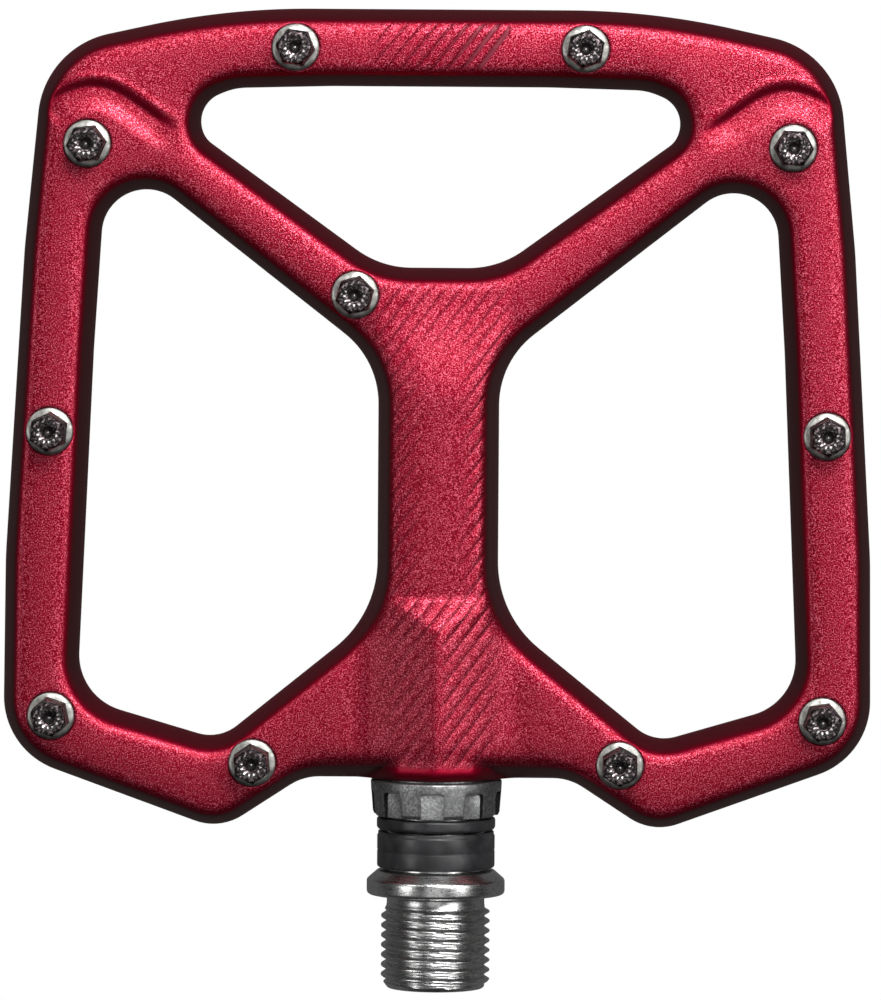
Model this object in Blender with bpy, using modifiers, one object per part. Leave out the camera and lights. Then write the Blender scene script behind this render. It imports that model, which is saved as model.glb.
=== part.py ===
"""Right-hand flat pedal for a mountain bike.

A one-piece alloy platform with a spine and three windows turns on a steel
spindle. Grip pins stand on both faces. Inside the spine sit a polymer bush, a
spacer sleeve and a cartridge ball bearing, held by a slotted lock collar.

Frame, in metres: the origin is on the spindle axis, in the plane of the
spindle flange that seats on the crank arm. +Y points outboard along the
spindle, +Z is up out of the upper tread face and +X is to the right of
someone who looks down on that face with the thread towards them.
"""

import math

import bmesh
import bpy
from mathutils import Matrix, Vector

MM = 0.001

# ---- driving dimensions, in millimetres ----
PITCH = 25.4 / 20          # 9/16 in - 20 TPI pedal thread
THREAD_R = 14.1 / 2        # crest radius of the thread
ROOT_R = 12.75 / 2         # root radius of the thread
THREAD_END = -12.2
FLANGE_R = 17.9 / 2

RAIL_H = 5.5               # half thickness of the arms and bars
SPINE_H = 7.0              # half thickness of the spine
HUB_H = 9.1                # half thickness of the boss at the inboard end
EDGE_H = 0.7               # half height of the straight band round every edge
EDGE_IN = 2.0              # how far the tread faces lie inside that band

# Sharp corners of the outlines on the +X side, each with its fillet radius.
OUTER = [
    (27.4, 114.4, 99.0),
    (51.1, 109.2, 11.5),
    (53.6, 83.4, 60.0),
    (55.9, 43.6, 60.0),
    (56.15, 18.3, 10.0),
    (28.0, 8.1, 7.0),
    (17.2, 15.5, 7.0),
]
TOP_WINDOW = [
    (14.1, 104.45, 50.0),
    (26.6, 104.12, 8.0),
    (31.78, 101.93, 3.78),
    (30.33, 97.57, 3.2),
    (7.57, 81.12, 12.1),
]
SIDE_WINDOW = [
    (44.6, 70.5, 60.0),
    (42.95, 96.5, 5.8),
    (7.8, 69.1, 11.5),
    (7.8, 36.3, 14.5),
    (28.2, 19.8, 5.5),
    (46.6, 25.2, 7.4),
]

# Grip pins: the five on each side of the axis, then the single one.
PIN_PAIRS = [(18.6, 109.4), (45.3, 96.9), (50.0, 59.9), (49.7, 23.2), (23.7, 17.3)]
PIN_SINGLE = (-10.8, 77.7)
PIN_TURNS = [22, -10, -24, 28, -5, 1, 11, -20, 5, 0, -15]
PIN_TIP = 10.4             # height of the pin tips above the mid plane
PIN_HEX_R = 2.48           # radius over the corners of the 4.3 mm hexagon
PIN_FLANGE_R = 2.95
PIN_SEAT_R = 3.25
PIN_SHANK_R = 1.95
PIN_HOLE_R = 2.25

COLLAR_SLOTS = 9
COLLAR_SLOT_TURN = -3.0    # degrees from +Z towards +X

BEARING_Y = 62.5
BALLS = 7
BALL_R = 0.75
BALL_PITCH_R = 4.0


for old in list(bpy.data.objects):
    bpy.data.objects.remove(old, do_unlink=True)

scene = bpy.context.scene
parts = bpy.data.collections.new("flat_pedal")
cutters = bpy.data.collections.new("flat_pedal_cutters")
scene.collection.children.link(parts)
scene.collection.children.link(cutters)
cutters.hide_render = True


# ---- materials ----
def material(name, colour, rough, metal):
    made = bpy.data.materials.new(name)
    made.use_nodes = True
    shader = made.node_tree.nodes["Principled BSDF"]
    shader.inputs["Base Color"].default_value = (*colour, 1.0)
    shader.inputs["Roughness"].default_value = rough
    shader.inputs["Metallic"].default_value = metal
    made.diffuse_color = (*colour, 1.0)
    return made


RED = material("red_anodised_alloy", (0.50, 0.015, 0.045), 0.42, 1.0)
STEEL = material("machined_steel", (0.55, 0.55, 0.54), 0.25, 1.0)
PIN_STEEL = material("blackened_steel", (0.12, 0.11, 0.11), 0.35, 1.0)
COLLAR = material("blasted_alloy", (0.28, 0.29, 0.29), 0.6, 1.0)
RUBBER = material("black_rubber", (0.02, 0.02, 0.022), 0.55, 0.0)
POLYMER = material("bush_polymer", (0.45, 0.38, 0.16), 0.6, 0.0)
RACE = material("bearing_steel", (0.6, 0.6, 0.6), 0.18, 1.0)


# ---- helpers ----
def place(obj, collection, mat=None):
    for other in list(obj.users_collection):
        other.objects.unlink(obj)
    collection.objects.link(obj)
    if collection is cutters:
        obj.hide_render = True
        obj.display_type = "WIRE"
    if mat:
        obj.data.materials.clear()
        obj.data.materials.append(mat)
    return obj


def filleted(corners, step=8.0):
    """A closed loop of straight runs whose corners are rounded by their radii.

    Returns (x, y, nx, ny) with the normal pointing out of the loop.
    A corner's chords turn by at most 25 degrees, and a long shallow one is
    split so that its chords are about STEP long.
    """
    points = []
    count = len(corners)
    area = sum(
        corners[i - 1][0] * corners[i][1] - corners[i][0] * corners[i - 1][1]
        for i in range(count)
    )
    for i, (x, y, radius) in enumerate(corners):
        here = Vector((x, y))
        before = (Vector(corners[i - 1][:2]) - here).normalized()
        after = (Vector(corners[(i + 1) % count][:2]) - here).normalized()
        half = before.angle(after) / 2
        middle = here + (before + after).normalized() * (radius / math.sin(half))
        spoke = here + before * (radius / math.tan(half)) - middle
        turn = math.pi - 2 * half
        left = before.x * after.y - before.y * after.x < 0
        chords = max(math.ceil(turn / math.radians(25)), round(radius * turn / step), 2)
        for k in range(chords + 1):
            a = (turn if left else -turn) * k / chords
            out = Vector((
                spoke.x * math.cos(a) - spoke.y * math.sin(a),
                spoke.x * math.sin(a) + spoke.y * math.cos(a),
            ))
            at = middle + out
            normal = out.normalized() * (1 if left == (area > 0) else -1)
            points.append((at.x, at.y, normal.x, normal.y))
    return points


def mirrored_loop(corners):
    """A closed loop from the corners on the +X side and their mirror images."""
    return filleted(list(corners) + [(-x, y, r) for x, y, r in reversed(corners)])


def drafted_plate(name, loops, levels):
    """A plate bounded by closed loops whose edges draw in towards both faces.

    LEVELS lists (inset, z) from the lower face to the upper one. The first
    loop bounds the plate and the others are windows in it.
    """
    mesh = bpy.data.meshes.new(name)
    bm = bmesh.new()
    rims = {0: [], len(levels) - 1: []}
    for loop in loops:
        rings = []
        for inset, z in levels:
            grow = -inset if loop is loops[0] else inset
            verts = [
                bm.verts.new(((x + nx * grow) * MM, (y + ny * grow) * MM, z * MM))
                for x, y, nx, ny in loop
            ]
            rings.append([
                bm.edges.new((a, b)) for a, b in zip(verts, verts[1:] + verts[:1])
            ])
        for near, far in zip(rings, rings[1:]):
            bmesh.ops.bridge_loops(bm, edges=near + far)
        for level in rims:
            rims[level] += rings[level]
    for level, rim in rims.items():
        bmesh.ops.triangle_fill(
            bm, use_beauty=True, use_dissolve=False, edges=rim,
            normal=(0, 0, 1 if level else -1),
        )
    bmesh.ops.recalc_face_normals(bm, faces=bm.faces)
    bm.to_mesh(mesh)
    bm.free()
    return bpy.data.objects.new(name, mesh)


def turned(name, profile, collection, mat=None, segments=32, y=0.0):
    """A piece turned about the spindle axis.

    PROFILE lists (radius, Y) from its outboard end to its inboard end, down
    the outer side. A profile that starts and ends off the axis is closed
    down its inner side, which makes a ring.
    """
    mesh = bpy.data.meshes.new(name)
    bm = bmesh.new()
    verts = [bm.verts.new((r * MM, 0, v * MM)) for r, v in profile]
    ring = profile[0][0] > 0 and profile[-1][0] > 0
    for a, b in zip(verts, verts[1:] + (verts[:1] if ring else [])):
        bm.edges.new((a, b))
    bm.to_mesh(mesh)
    bm.free()
    obj = bpy.data.objects.new(name, mesh)
    collection.objects.link(obj)
    screw = obj.modifiers.new("turn", "SCREW")
    screw.axis = "Z"
    screw.angle = 2 * math.pi
    screw.steps = screw.render_steps = segments
    screw.use_merge_vertices = True
    screw.merge_threshold = 0.00001
    screw.use_smooth_shade = True
    obj.location = (0, y * MM, 0)
    obj.rotation_euler = (-math.pi / 2, 0, 0)
    return place(obj, collection, mat)


def cut(obj, cutter, operation="DIFFERENCE"):
    boolean = obj.modifiers.new(operation.lower(), "BOOLEAN")
    boolean.operation = operation
    boolean.solver = "EXACT"
    boolean.object = cutter
    return boolean


def loft(name, sections):
    """A closed body through rings of points that all have the same length."""
    mesh = bpy.data.meshes.new(name)
    bm = bmesh.new()
    rings = [[bm.verts.new((x * MM, y * MM, z * MM)) for x, z in pts] for y, pts in sections]
    loops = []
    for ring in rings:
        loops.append([bm.edges.new((a, b)) for a, b in zip(ring, ring[1:] + ring[:1])])
    for near, far in zip(loops, loops[1:]):
        bmesh.ops.bridge_loops(bm, edges=near + far)
    for ring in (rings[0], rings[-1]):
        bm.faces.new(ring)
    bmesh.ops.recalc_face_normals(bm, faces=bm.faces)
    bm.to_mesh(mesh)
    bm.free()
    obj = bpy.data.objects.new(name, mesh)
    cutters.objects.link(obj)
    return place(obj, cutters)


def evaluated_mesh(obj, name):
    bpy.context.view_layer.update()
    mesh = bpy.data.meshes.new_from_object(
        obj.evaluated_get(bpy.context.evaluated_depsgraph_get())
    )
    mesh.name = name
    return mesh


def smooth(mesh, angle=35):
    mesh.shade_smooth()
    mesh.set_sharp_from_angle(angle=math.radians(angle))


# ---- hinge empties: the platform and the ball set turn about the spindle ----
def hinge(name, y):
    empty = bpy.data.objects.new(name, None)
    empty.location = (0, y * MM, 0)
    empty.empty_display_size = 0.02
    parts.objects.link(empty)
    return empty


platform_hinge = hinge("platform_hinge", 0)
ball_hinge = hinge("ball_hinge", BEARING_Y)
bpy.context.view_layer.update()


def ride(obj, empty):
    obj.parent = empty
    obj.matrix_parent_inverse = empty.matrix_world.inverted()
    return obj


# ---- platform ----
right_window = filleted(SIDE_WINDOW)
left_window = [(-x, y, -nx, ny) for x, y, nx, ny in right_window]
DRAFT = [(0.0, EDGE_H), (1.25, RAIL_H - 0.8), (EDGE_IN, RAIL_H)]
platform = drafted_plate(
    "platform_body",
    [mirrored_loop(OUTER), mirrored_loop(TOP_WINDOW), right_window, left_window],
    [(inset, -z) for inset, z in reversed(DRAFT)] + DRAFT,
)
place(platform, parts, RED)


def quarter(points):
    """A full ring from the points in the quarter x >= 0, z >= 0."""
    right = list(points)
    ring = right + [(-x, z) for x, z in reversed(right)]
    return ring + [(-x, -z) for x, z in ring]


HUB = quarter([(11.5, 0.8), (10.4, 5.0), (7.0, 7.5), (3.6, 8.75), (0.9, HUB_H)])
SPINE = quarter([(8.2, 0.8), (7.4, 4.4), (6.5, 6.4), (5.4, SPINE_H - 0.12), (1.5, SPINE_H)])
SPINE_END = quarter([(6.2, 0.8), (5.8, 2.4), (5.3, 3.8), (4.2, 4.5), (1.5, 4.6)])
spine = loft("spine_boss", [
    (15.15, HUB), (27.0, HUB),
    (37.0, quarter([(8.5, 0.8), (7.7, 4.6), (6.7, 6.5), (5.4, 7.1), (1.5, 7.2)])),
    (43.0, SPINE), (66.0, SPINE), (77.5, SPINE_END),
])
cut(platform, spine, "UNION")

# stepped blind bore: thread for the collar, bush seat, sleeve and bearing
# seat, and a pocket round the locknut
bore = turned("bore_cutter", [(0, 75.0), (1.2, 75.0), (4.6, 72.5), (4.6, 65.4), (5.8, 65.4),
                              (5.8, 34.4), (6.9, 34.4), (6.9, 21.0), (7.55, 21.0),
                              (7.55, 14.0), (0, 14.0)], cutters, segments=24)
cut(platform, bore)


def pin_spots(side):
    """(x, y, side) of every pin on one face. The lower face is the upper one
    turned half a turn about the spindle, so its single pin is on the other side."""
    spots = []
    for x, y in PIN_PAIRS:
        spots += [(-x, y), (x, y)]
    spots.append((side * PIN_SINGLE[0], PIN_SINGLE[1]))
    return spots


holes = []
for side in (1, -1):
    bm = bmesh.new()
    for x, y in pin_spots(side):
        if side > 0 or (x, y) == (-PIN_SINGLE[0], PIN_SINGLE[1]):
            # threaded hole: right through the rail, or blind under the single pin
            through = abs(x) != abs(PIN_SINGLE[0])
            low, high = (-8, 8) if through else ((0.2, 8) if side > 0 else (-8, -0.2))
            made = bmesh.ops.create_cone(
                bm, cap_ends=True, segments=8, radius1=PIN_HOLE_R * MM,
                radius2=PIN_HOLE_R * MM, depth=(high - low) * MM,
            )
            bmesh.ops.translate(
                bm, verts=made["verts"], vec=Vector((x, y, (high + low) / 2)) * MM
            )
    mesh = bpy.data.meshes.new(f"pin_holes_{'upper' if side > 0 else 'lower'}")
    bm.to_mesh(mesh)
    bm.free()
    holes.append(place(bpy.data.objects.new(mesh.name, mesh), cutters))
    bm = bmesh.new()
    for x, y in pin_spots(side):
        made = bmesh.ops.create_cone(
            bm, cap_ends=True, segments=14, radius1=PIN_SEAT_R * MM,
            radius2=PIN_SEAT_R * MM, depth=4 * MM,
        )
        bmesh.ops.translate(
            bm, verts=made["verts"],
            vec=Vector((x, y, side * (RAIL_H - 0.7 + 2.0))) * MM,
        )
    mesh = bpy.data.meshes.new(f"pin_seats_{'upper' if side > 0 else 'lower'}")
    bm.to_mesh(mesh)
    bm.free()
    holes.append(place(bpy.data.objects.new(mesh.name, mesh), cutters))
for cutter in holes:
    cut(platform, cutter)
ride(platform, platform_hinge)


# ---- grip pins: hexagon, round flange and threaded shank, one mesh for all ----
def pin_blank(name, radius, segments, low, high, tip=None):
    bm = bmesh.new()
    bmesh.ops.create_cone(
        bm, cap_ends=True, segments=segments, radius1=radius * MM,
        radius2=(tip or radius) * MM, depth=(high - low) * MM,
    )
    bmesh.ops.translate(bm, verts=bm.verts, vec=(0, 0, (high + low) / 2 * MM))
    mesh = bpy.data.meshes.new(name)
    bm.to_mesh(mesh)
    bm.free()
    return place(bpy.data.objects.new(name, mesh), cutters)


PIN_BASE = RAIL_H - 0.4      # underside of the flange
pin_shank = pin_blank("pin_shank", PIN_SHANK_R, 8, 0.35, PIN_BASE + 0.4)
pin_flange = pin_blank("pin_flange", PIN_FLANGE_R, 14, PIN_BASE, PIN_BASE + 0.75, PIN_FLANGE_R - 0.2)
pin_hex = pin_blank("pin_hex", PIN_HEX_R, 6, PIN_BASE + 0.3, PIN_TIP)
pin_socket = pin_blank("pin_socket", 0.7, 6, PIN_TIP - 1.2, PIN_TIP + 0.5, 1.85)
cut(pin_shank, pin_flange, "UNION")
cut(pin_shank, pin_hex, "UNION")
cut(pin_shank, pin_socket)
pin_mesh = evaluated_mesh(pin_shank, "grip_pin")
smooth(pin_mesh)
pin_mesh.materials.clear()
pin_mesh.materials.append(PIN_STEEL)
for helper in (pin_shank, pin_flange, pin_hex, pin_socket):
    bpy.data.objects.remove(helper, do_unlink=True)

for side, face in ((1, "upper"), (-1, "lower")):
    for number, ((x, y), turn) in enumerate(zip(pin_spots(side), PIN_TURNS), 1):
        pin = bpy.data.objects.new(f"pin_{face}_{number:02d}", pin_mesh)
        parts.objects.link(pin)
        pin.location = (x * MM, y * MM, 0)
        pin.rotation_euler = (0, 0 if side > 0 else math.pi, math.radians(turn))
        bpy.context.view_layer.update()
        ride(pin, platform_hinge)


# ---- spindle ----
profile = [(0, 70.9), (2.2, 70.9), (2.5, 70.6), (2.5, 59.7), (3.3, 59.7), (3.5, 59.4),
           (4.1, 36.5), (5.6, 32.0), (6.0, 31.5), (6.0, 8.7), (6.4, 8.3), (6.4, 3.2),
           (7.6, 3.1), (FLANGE_R, 1.9), (FLANGE_R, 0.3), (FLANGE_R - 0.3, 0.0),
           (6.33, 0.0), (6.33, -2.1)]
crest = -2.1 - PITCH / 2
while crest > THREAD_END + 0.9:
    profile += [(THREAD_R, crest), (ROOT_R, crest - PITCH / 2)]
    crest -= PITCH
profile += [(THREAD_R - 0.25, crest + 0.15), (ROOT_R - 0.1, THREAD_END), (0, THREAD_END)]
spindle = turned("spindle", profile, parts, STEEL, segments=24)
bm = bmesh.new()
bmesh.ops.create_cone(bm, cap_ends=True, segments=6, radius1=8.0 / math.sqrt(3) * MM,
                      radius2=8.0 / math.sqrt(3) * MM, depth=12 * MM)
mesh = bpy.data.meshes.new("socket_cutter")
bm.to_mesh(mesh)
bm.free()
socket = place(bpy.data.objects.new("socket_cutter", mesh), cutters)
socket.rotation_euler = (math.pi / 2, 0, 0)
socket.location = (0, (THREAD_END + 8.5 - 6) * MM, 0)
cut(spindle, socket)

# ---- pieces on the spindle, from the crank end to the outboard end ----
turned("dust_sleeve", [(7.3, 8.2), (7.5, 8.1), (7.5, 7.85), (7.62, 7.7), (7.62, 3.75),
                       (7.45, 3.5), (6.75, 3.5), (6.75, 8.2)], parts, RUBBER, segments=24)
lip_seal = turned("lip_seal", [(7.3, 10.0), (7.6, 9.9), (7.68, 9.6), (7.68, 8.8), (7.5, 8.5),
                               (6.75, 8.5), (6.35, 9.1), (6.35, 10.0)], parts, RUBBER, segments=24)
collar = turned("lock_collar", [(7.25, 20.7), (7.25, 15.5), (7.25, 14.85), (8.5, 14.85),
                                (8.22, 10.6), (8.0, 10.3), (6.35, 10.3), (6.35, 20.7)],
                parts, COLLAR, segments=36)
bm = bmesh.new()
for k in range(COLLAR_SLOTS):
    made = bmesh.ops.create_cube(bm, size=1.0)
    verts = made["verts"]
    bmesh.ops.scale(bm, vec=Vector((3.0, 5.0, 2.0)) * MM, verts=verts)
    bmesh.ops.translate(bm, vec=Vector((0, 13.5 - 2.5, 7.55 + 1.0)) * MM, verts=verts)
    angle = math.radians(COLLAR_SLOT_TURN + 360 / COLLAR_SLOTS * k)
    bmesh.ops.rotate(bm, cent=(0, 0, 0), matrix=Matrix.Rotation(angle, 3, "Y"), verts=verts)
mesh = bpy.data.meshes.new("collar_slots")
bm.to_mesh(mesh)
bm.free()
slots = place(bpy.data.objects.new("collar_slots", mesh), cutters)
cut(collar, slots)

bush = turned("inboard_bush", [(6.6, 34.0), (6.6, 22.2), (6.6, 21.0 + 0.3), (6.6, 21.1),
                               (6.25, 21.1), (6.25, 34.0)], parts, POLYMER, segments=24)
sleeve = turned("spacer_sleeve", [(5.5, 59.6), (5.5, 34.9), (5.3, 34.7), (5.0, 34.7),
                                  (4.9, 36.0), (4.9, 59.6)], parts, STEEL, segments=24)

# ---- outboard cartridge bearing ----
b = BEARING_Y
outer_race = turned("outer_race", [(5.3, b + 2.5), (5.5, b + 2.3), (5.5, b - 2.3), (5.3, b - 2.5),
                                   (4.95, b - 2.5), (4.95, b - 1.7), (4.6, b - 1.5), (4.6, b - 0.55),
                                   (4.88, b - 0.3), (4.88, b + 0.3), (4.6, b + 0.55), (4.6, b + 1.5),
                                   (4.95, b + 1.7), (4.95, b + 2.5)], parts, RACE, segments=24)
inner_race = turned("inner_race", [(3.3, b + 2.5), (3.4, b + 2.4), (3.4, b + 0.55), (3.1, b + 0.3),
                                   (3.1, b - 0.3), (3.4, b - 0.55), (3.4, b - 2.4), (3.3, b - 2.5),
                                   (2.75, b - 2.5), (2.75, b + 2.5)], parts, RACE, segments=24)
shield_out = turned("bearing_shield_outboard", [(4.75, b + 2.3), (4.75, b + 2.0), (3.65, b + 2.0),
                                                (3.65, b + 2.3)], parts, RUBBER, segments=24)
shield_in = turned("bearing_shield_inboard", [(4.75, b - 2.0), (4.75, b - 2.3), (3.65, b - 2.3),
                                              (3.65, b - 2.0)], parts, RUBBER, segments=24)
cage = turned("ball_cage", [(4.35, b + 1.5), (4.35, b - 0.7), (3.65, b - 0.7), (3.65, b + 1.5)],
              parts, POLYMER, segments=28)
bm = bmesh.new()
for k in range(BALLS):
    a = 2 * math.pi * (k + 0.5) / BALLS
    made = bmesh.ops.create_cube(bm, size=1.0)
    verts = made["verts"]
    bmesh.ops.scale(bm, vec=Vector((2.0, 3.0, 2.0)) * MM, verts=verts)
    bmesh.ops.translate(bm, vec=Vector((0, b - 0.55, BALL_PITCH_R)) * MM, verts=verts)
    bmesh.ops.rotate(bm, cent=(0, 0, 0), matrix=Matrix.Rotation(a, 3, "Y"), verts=verts)
mesh = bpy.data.meshes.new("cage_pockets")
bm.to_mesh(mesh)
bm.free()
pockets = place(bpy.data.objects.new("cage_pockets", mesh), cutters)
cut(cage, pockets)
ride(cage, ball_hinge)

bm = bmesh.new()
bmesh.ops.create_icosphere(bm, subdivisions=2, radius=BALL_R * MM)
ball_mesh = bpy.data.meshes.new("bearing_ball")
bm.to_mesh(ball_mesh)
bm.free()
ball_mesh.shade_smooth()
ball_mesh.materials.append(RACE)
for k in range(BALLS):
    a = 2 * math.pi * (k + 0.5) / BALLS
    ball = bpy.data.objects.new(f"bearing_ball_{k + 1}", ball_mesh)
    parts.objects.link(ball)
    ball.location = (BALL_PITCH_R * math.sin(a) * MM, b * MM, BALL_PITCH_R * math.cos(a) * MM)
    bpy.context.view_layer.update()
    ride(ball, ball_hinge)

# ---- outboard end of the spindle ----
turned("lock_washer", [(3.6, 65.9), (3.6, 65.3), (2.75, 65.3), (2.75, 65.9)], parts, STEEL, segments=24)
nut = bpy.data.objects.new("spindle_locknut", bpy.data.meshes.new("spindle_locknut"))
bm = bmesh.new()
bmesh.ops.create_cone(bm, cap_ends=True, segments=6, radius1=7.0 / math.sqrt(3) * MM,
                      radius2=7.0 / math.sqrt(3) * MM, depth=3.8 * MM)
bm.to_mesh(nut.data)
bm.free()
nut.location = (0, 68.1 * MM, 0)
nut.rotation_euler = (-math.pi / 2, 0, 0)
place(nut, parts, STEEL)
cut(nut, turned("nut_thread", [(0, 71.0), (2.75, 71.0), (2.75, 65.0), (0, 65.0)], cutters, segments=24))

for turning in (collar, lip_seal, bush, sleeve, outer_race, shield_in, shield_out):
    bpy.context.view_layer.update()
    ride(turning, platform_hinge)
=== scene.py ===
"""Looks of the flat pedal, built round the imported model.

The platform body, pins, lock collar, seals and spindle are rebuilt here at
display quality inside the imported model's envelope. The pieces sealed inside
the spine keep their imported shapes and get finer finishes.
Lengths in this file are millimetres until a mesh is made.
"""

import math

import bmesh
import bpy
import numpy as np
from mathutils import Matrix, Vector
from mathutils.geometry import delaunay_2d_cdt


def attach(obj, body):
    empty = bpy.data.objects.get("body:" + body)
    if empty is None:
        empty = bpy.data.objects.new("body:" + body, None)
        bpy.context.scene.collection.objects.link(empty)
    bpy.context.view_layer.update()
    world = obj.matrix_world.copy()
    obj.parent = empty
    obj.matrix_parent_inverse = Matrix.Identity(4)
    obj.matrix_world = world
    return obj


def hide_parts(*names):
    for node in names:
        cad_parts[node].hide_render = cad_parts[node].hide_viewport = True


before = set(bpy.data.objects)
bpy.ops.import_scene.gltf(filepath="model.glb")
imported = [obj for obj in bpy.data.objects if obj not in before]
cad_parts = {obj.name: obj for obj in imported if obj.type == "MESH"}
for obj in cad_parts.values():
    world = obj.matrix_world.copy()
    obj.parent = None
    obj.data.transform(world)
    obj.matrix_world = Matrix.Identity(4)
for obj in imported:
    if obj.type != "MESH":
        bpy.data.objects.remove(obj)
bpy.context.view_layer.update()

MM = 0.001

# ---------------------------------------------------------------- dimensions
PITCH = 25.4 / 20
THREAD_R, ROOT_R = 14.1 / 2, 12.75 / 2
THREAD_END = -12.2
FLANGE_R = 17.9 / 2
RAIL_H, SPINE_H, HUB_H = 5.5, 7.0, 9.1
MOUTH_Y, HUB_HALF = 15.15, 11.5

OUTER = [
    (27.4, 114.4, 99.0), (51.1, 109.2, 11.5), (53.6, 83.4, 60.0), (55.9, 43.6, 60.0),
    (56.15, 18.3, 10.0), (28.0, 8.1, 7.0), (17.2, MOUTH_Y, 7.0),
]
TOP_WINDOW = [(14.1, 104.45, 50.0), (26.6, 104.12, 8.0), (31.78, 101.93, 3.78), (30.33, 97.57, 3.2), (7.57, 81.12, 12.1)]
SIDE_WINDOW = [
    (44.6, 70.5, 60.0), (42.95, 96.5, 5.8), (7.8, 69.1, 11.5), (7.8, 36.3, 14.5),
    (28.2, 19.8, 5.5), (46.6, 25.2, 7.4),
]
PIN_PAIRS = [(18.6, 109.4), (45.3, 96.9), (50.0, 59.9), (49.7, 23.2), (23.7, 17.3)]
PIN_SINGLE = (-10.8, 77.7)
PIN_TURNS = [22, -10, -24, 28, -5, 1, 11, -20, 5, 0, -15]
PIN_HOLE_R, PIN_SEAT_R, SEAT_FLOOR = 2.25, 3.15, 4.8
PIN_TIP = 10.4


# ---------------------------------------------------------------- node helpers
def new_material(name):
    mat = bpy.data.materials.new(name)
    mat.use_nodes = True
    tree = mat.node_tree
    return mat, tree, tree.nodes["Principled BSDF"]


def node(tree, kind, **inputs):
    made = tree.nodes.new(kind)
    for key, value in inputs.items():
        made.inputs[key.replace("_", " ")].default_value = value
    return made


def ramp(tree, fac, stops):
    made = tree.nodes.new("ShaderNodeValToRGB")
    elements = made.color_ramp.elements
    while len(elements) < len(stops):
        elements.new(0.5)
    for element, (at, colour) in zip(elements, stops):
        element.position = at
        element.color = (*colour, 1.0) if len(colour) == 3 else colour
    tree.links.new(fac, made.inputs["Fac"])
    return made.outputs["Color"]


def mix_colour(tree, fac, a, b):
    made = tree.nodes.new("ShaderNodeMix")
    made.data_type = "RGBA"
    if isinstance(fac, (int, float)):
        made.inputs[0].default_value = fac
    else:
        tree.links.new(fac, made.inputs[0])
    for value, socket in ((a, made.inputs[6]), (b, made.inputs[7])):
        if isinstance(value, tuple):
            socket.default_value = (*value, 1.0)
        else:
            tree.links.new(value, socket)
    return made.outputs[2]


def math_node(tree, operation, a, b=None, clamp=False):
    made = tree.nodes.new("ShaderNodeMath")
    made.operation = operation
    made.use_clamp = clamp
    for i, value in enumerate((a, b)):
        if value is None:
            continue
        if isinstance(value, (int, float)):
            made.inputs[i].default_value = value
        else:
            tree.links.new(value, made.inputs[i])
    return made.outputs[0]


def map_range(tree, value, a, b, c, d):
    made = tree.nodes.new("ShaderNodeMapRange")
    for key, v in (("From Min", a), ("From Max", b), ("To Min", c), ("To Max", d)):
        made.inputs[key].default_value = v
    tree.links.new(value, made.inputs["Value"])
    return made.outputs["Result"]


def noise(tree, vector, scale, detail=2.0, rough=0.5):
    made = node(tree, "ShaderNodeTexNoise", Scale=scale, Detail=detail, Roughness=rough)
    tree.links.new(vector, made.inputs["Vector"])
    return made.outputs["Fac"]


def scaled(tree, vector, scale):
    made = tree.nodes.new("ShaderNodeVectorMath")
    made.operation = "MULTIPLY"
    made.inputs[1].default_value = scale
    tree.links.new(vector, made.inputs[0])
    return made.outputs["Vector"]


def bump(tree, height, distance, strength=1.0, below=None):
    made = node(tree, "ShaderNodeBump", Distance=distance)
    if isinstance(strength, (int, float)):
        made.inputs["Strength"].default_value = strength
    else:
        tree.links.new(strength, made.inputs["Strength"])
    tree.links.new(height, made.inputs["Height"])
    if below is not None:
        tree.links.new(below, made.inputs["Normal"])
    return made.outputs["Normal"]


def object_coords(tree):
    return tree.nodes.new("ShaderNodeTexCoord").outputs["Object"]


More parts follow.
